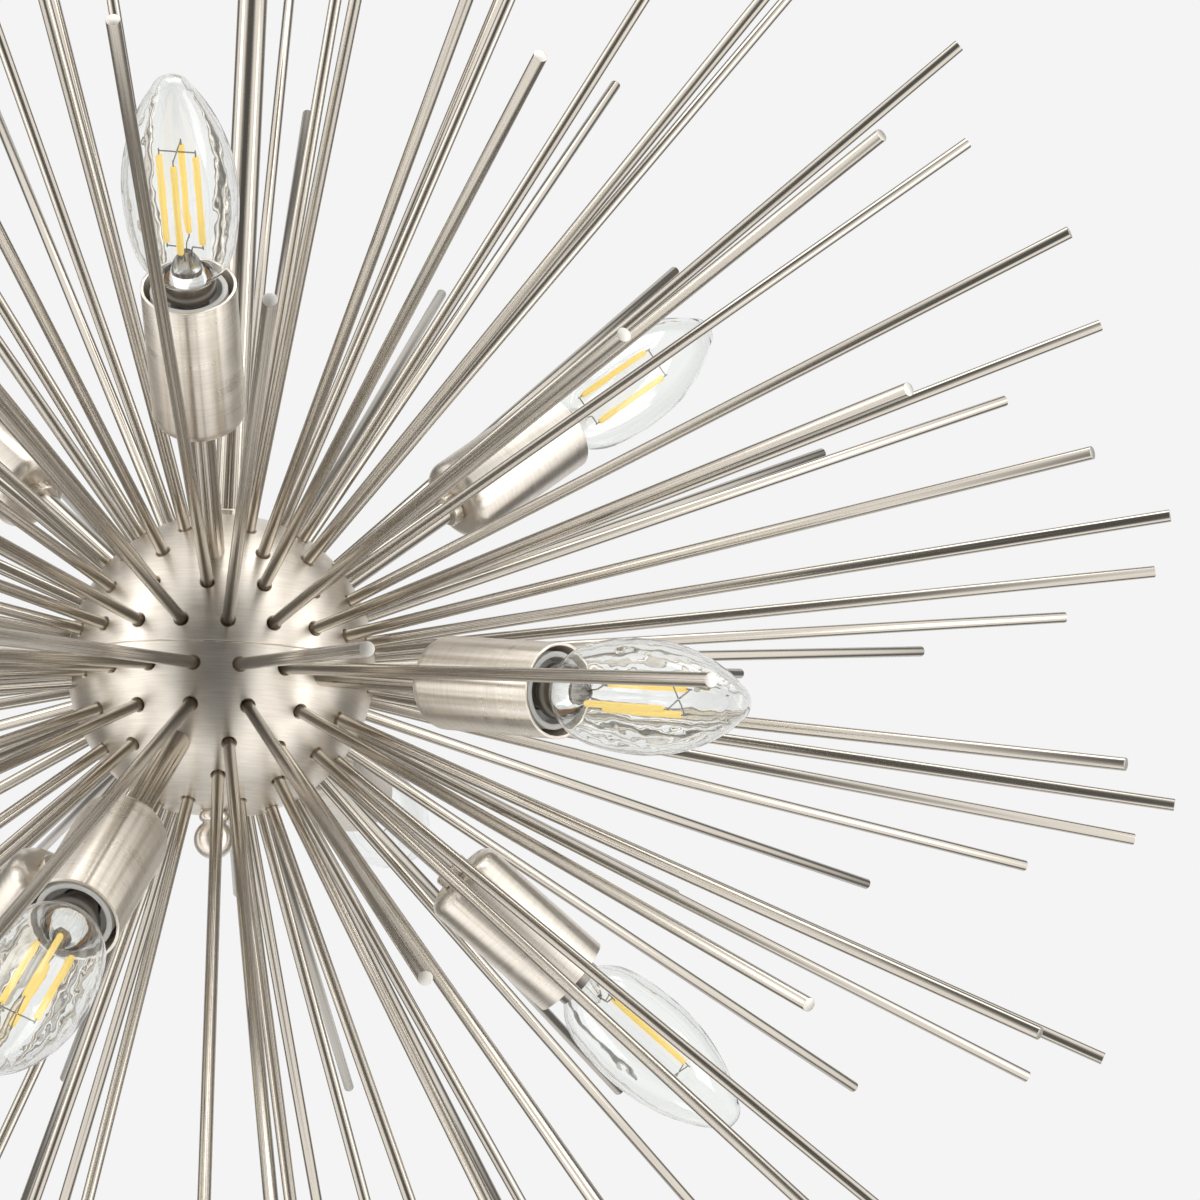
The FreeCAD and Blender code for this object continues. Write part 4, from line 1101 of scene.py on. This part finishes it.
    def make_foot(self, sizes):
        """Glass foot that carries the wires, flared where it is sealed into the neck."""
        neck = sizes.neck_radius - sizes.glass
        start = sizes.neck_start
        top = sizes.foot_top
        flare, bell, waist, pinch = (neck * share for share in self.FOOT_SHARES)
        return turned([
            (0, start), (flare, start), (bell, start + self.BELL_HEIGHT),
            (waist, top - self.WAIST_DROP), (pinch, top - self.PINCH_DROP), (0, top),
        ], sides=40, closed=False)

    def make_cement(self, sizes):
        """Ring of cement in the neck."""
        neck = sizes.neck_radius - sizes.glass
        inner = neck * self.CEMENT_SHARE
        outer = neck - self.PLAY
        start = sizes.neck_start
        inner_rise, outer_rise = self.CEMENT_RISE
        ring = turned([
            (inner, start + self.PLAY), (outer, start + self.PLAY),
            (outer, start + outer_rise), (inner, start + inner_rise),
        ], sides=40)
        for face in ring.faces:
            face.material_index = self.CEMENT
        return ring

    def add_filament(self, works, turn, sizes, place):
        """One filament strip with its wires to the foot and to the middle of the star."""
        outward = Vector((math.cos(turn), math.sin(turn), 0))
        centre = outward * sizes.filament_spread
        low = centre + UP * sizes.filament_start
        high = centre + UP * sizes.filament_end
        star = UP * (sizes.filament_end + self.STAR_RISE)
        bend_reach, bend_drop = self.BEND
        root_reach, root_drop = self.ROOT
        bend = outward * bend_reach + UP * (sizes.filament_start - bend_drop)
        root = outward * root_reach + UP * (sizes.foot_top - root_drop)
        wires = (
            (high - UP * self.WIRE_SEAT, high + UP * self.OUTER_LEAD),
            (centre + star, star + outward * sizes.wire_radius),
            (low - UP * self.INNER_LEAD, low + UP * self.WIRE_SEAT),
            (low - UP * bend_drop, bend),
            (bend, root),
        )
        self.add_stick(works, low, high, sizes.filament_radius, self.STRIP, place)
        for start, end in wires:
            self.add_stick(works, start, end, sizes.wire_radius, self.WIRE, place)

    def add_stick(self, works, start, end, radius, material, place):
        """A round stick with domed ends from start to end."""
        stick = bmesh.new()
        bmesh.ops.create_cone(
            stick, cap_ends=True, segments=12, radius1=radius, radius2=radius,
            depth=(end - start).length)
        ease_edges(stick, width=radius * 0.6)
        for face in stick.faces:
            face.material_index = material
        turn = (end - start).to_track_quat("Z", "Y").to_matrix().to_4x4()
        stamp(works, stick, place @ Matrix.Translation((start + end) / 2) @ turn)
        stick.free()


class CHANDELIER_OT_stage(bpy.types.Operator):
    """Floor, backdrop, soft light and camera"""

    bl_idname = "chandelier.stage"
    bl_label = "Stage"

    # What polished metal sees from the camera's side of the room, at 0, round to the
    # backdrop behind the chandelier, at 1: (place, brightness).
    ROOM = ((0.0, 0.1), (0.03, 0.13), (0.12, 1.0), (0.58, 1.0), (0.72, 0.12), (0.88, 0.15),
            (0.96, 0.6))
    ROOM_LIGHT = 1.45
    # How much of a direction's height counts, so that dark and bright stand upright.
    ROOM_UPRIGHT = 0.25
    # Soft boxes that face the hub: (place, width, height, watts).
    SOFT_BOXES = {
        "left": ((-1.9, -0.9, 0.2), 0.7, 1.8, 6.0),
        "right": ((2.0, -0.7, -0.3), 0.7, 1.8, 7.0),
        "top": ((0.2, -0.4, 1.4), 1.4, 1.0, 8.0),
    }

    def execute(self, context):
        sizes = context.scene.chandelier_stage
        self.add_floor(context, sizes)
        self.add_surroundings(context)
        self.add_lights(context)
        self.add_camera(context, sizes)
        context.scene.view_settings.view_transform = "Standard"
        return {"FINISHED"}

    def add_floor(self, context, sizes):
        """Round pale floor, which the metal doesn't mirror."""
        bm = bmesh.new()
        bmesh.ops.create_circle(bm, cap_ends=True, segments=96, radius=sizes.floor_radius)
        bmesh.ops.translate(bm, verts=bm.verts, vec=(0, 0, -sizes.floor_drop))
        floor = add_object(context, "floor", bm, ["matt_paper_floor"])
        floor.visible_glossy = False

    def add_surroundings(self, context):
        """The backdrop, the room that the metal mirrors, and even light from all round.

        The room is bright to both sides, and dim on the camera's side and beside the
        backdrop.
        """
        world = bpy.data.worlds.new("studio")
        context.scene.world = world
        world.use_nodes = True
        world.cycles.sampling_method = "NONE"
        world.node_tree.nodes.clear()
        add = partial(add_node, world.node_tree)
        path = add("LightPath")
        seen = add("Math", {
            0: path.outputs["Is Camera Ray"], 1: path.outputs["Is Transmission Ray"],
        }, operation="MAXIMUM")
        backdrop = add("Background", {
            "Color": context.scene.chandelier_colours.backdrop, "Strength": 1.0})
        direction = add("TexCoord")
        levelled = add("VectorMath", {
            0: direction.outputs["Generated"], 1: (1.0, 1.0, self.ROOM_UPRIGHT),
        }, operation="MULTIPLY")
        unit = add("VectorMath", {0: levelled.outputs["Vector"]}, operation="NORMALIZE")
        split = add("SeparateXYZ", {0: unit.outputs["Vector"]})
        depth = add("MapRange", {
            "Value": split.outputs["Y"], "From Min": -1.0, "From Max": 1.0})
        room = add("ValToRGB", {0: depth.outputs["Result"]})
        bands = room.color_ramp.elements
        while len(bands) < len(self.ROOM):
            bands.new(0.5)
        for band, (place, level) in zip(bands, self.ROOM):
            band.position = place
            band.color = (level, level, level, 1.0)
        mirrored = add("Background", {
            "Color": room.outputs["Color"], "Strength": self.ROOM_LIGHT})
        ambient = add("Background", {
            "Color": linear("#FFFFFF"), "Strength": 0.8})
        reflected = add("MixShader", {
            0: path.outputs["Is Glossy Ray"], 1: ambient.outputs[0], 2: mirrored.outputs[0]})
        whole = add("MixShader", {
            0: seen.outputs[0], 1: reflected.outputs[0], 2: backdrop.outputs[0]})
        add("OutputWorld", {"Surface": whole.outputs[0]})

    def add_lights(self, context):
        """Soft boxes to the left, to the right and above, each turned to the hub."""
        for name, (place, width, height, watts) in self.SOFT_BOXES.items():
            light = bpy.data.lights.new("soft_box_" + name, "AREA")
            light.shape = "RECTANGLE"
            light.size = width
            light.size_y = height
            light.energy = watts
            lamp = bpy.data.objects.new("soft_box_" + name, light)
            context.collection.objects.link(lamp)
            aim = HUB_CENTRE - Vector(place)
            lamp.matrix_world = (
                Matrix.Translation(place) @ aim.to_track_quat("-Z", "Y").to_matrix().to_4x4())

    def add_camera(self, context, sizes):
        """Camera below the hub's level, looking up a little, with the hub left of middle."""
        data = bpy.data.cameras.new("camera")
        data.sensor_width = 36.0
        data.lens = sizes.lens
        data.clip_start = 0.01
        camera = bpy.data.objects.new("camera", data)
        context.collection.objects.link(camera)
        turn = (
            Matrix.Rotation(sizes.camera_heading, 3, "Z")
            @ Matrix.Rotation(math.pi / 2 + sizes.camera_pitch, 3, "X")
            @ Matrix.Rotation(sizes.camera_roll, 3, "Z"))
        reach = data.sensor_width / sizes.lens
        to_hub = Vector((sizes.hub_across * reach, sizes.hub_up * reach, -1)).normalized()
        place = HUB_CENTRE - turn @ to_hub * sizes.camera_distance
        camera.matrix_world = Matrix.Translation(place) @ turn.to_4x4()
        context.scene.camera = camera


OPERATORS = (
    CHANDELIER_OT_ceiling_plate,
    CHANDELIER_OT_swivel,
    CHANDELIER_OT_stem,
    CHANDELIER_OT_hub,
    CHANDELIER_OT_finial,
    CHANDELIER_OT_rods,
    CHANDELIER_OT_arms,
    CHANDELIER_OT_cups,
    CHANDELIER_OT_lampholders,
    CHANDELIER_OT_lamps,
    CHANDELIER_OT_stage,
)


class CHANDELIER_PT_panel(bpy.types.Panel):
    """Lists the sizes, the colours and the operators"""

    bl_label = "Sputnik chandelier"
    bl_idname = "CHANDELIER_PT_panel"
    bl_space_type = "VIEW_3D"
    bl_region_type = "UI"
    bl_category = "Chandelier"

    def draw(self, context):
        for operator in OPERATORS:
            self.layout.operator(operator.bl_idname)
        for name, group in GROUPS.items():
            box = self.layout.box()
            box.label(text=group.__doc__)
            for setting in group.__annotations__:
                box.prop(getattr(context.scene, name), setting)


def register():
    for name, group in GROUPS.items():
        bpy.utils.register_class(group)
        setattr(bpy.types.Scene, name, bpy.props.PointerProperty(type=group))
    for operator in OPERATORS:
        bpy.utils.register_class(operator)
    bpy.utils.register_class(CHANDELIER_PT_panel)


def unregister():
    bpy.utils.unregister_class(CHANDELIER_PT_panel)
    for operator in reversed(OPERATORS):
        bpy.utils.unregister_class(operator)
    for name, group in reversed(GROUPS.items()):
        delattr(bpy.types.Scene, name)
        bpy.utils.unregister_class(group)


def main():
    """Build everything."""
    register()
    for operator in OPERATORS:
        getattr(bpy.ops.chandelier, operator.bl_idname.partition(".")[2])()


if __name__ == "__main__":
    main()
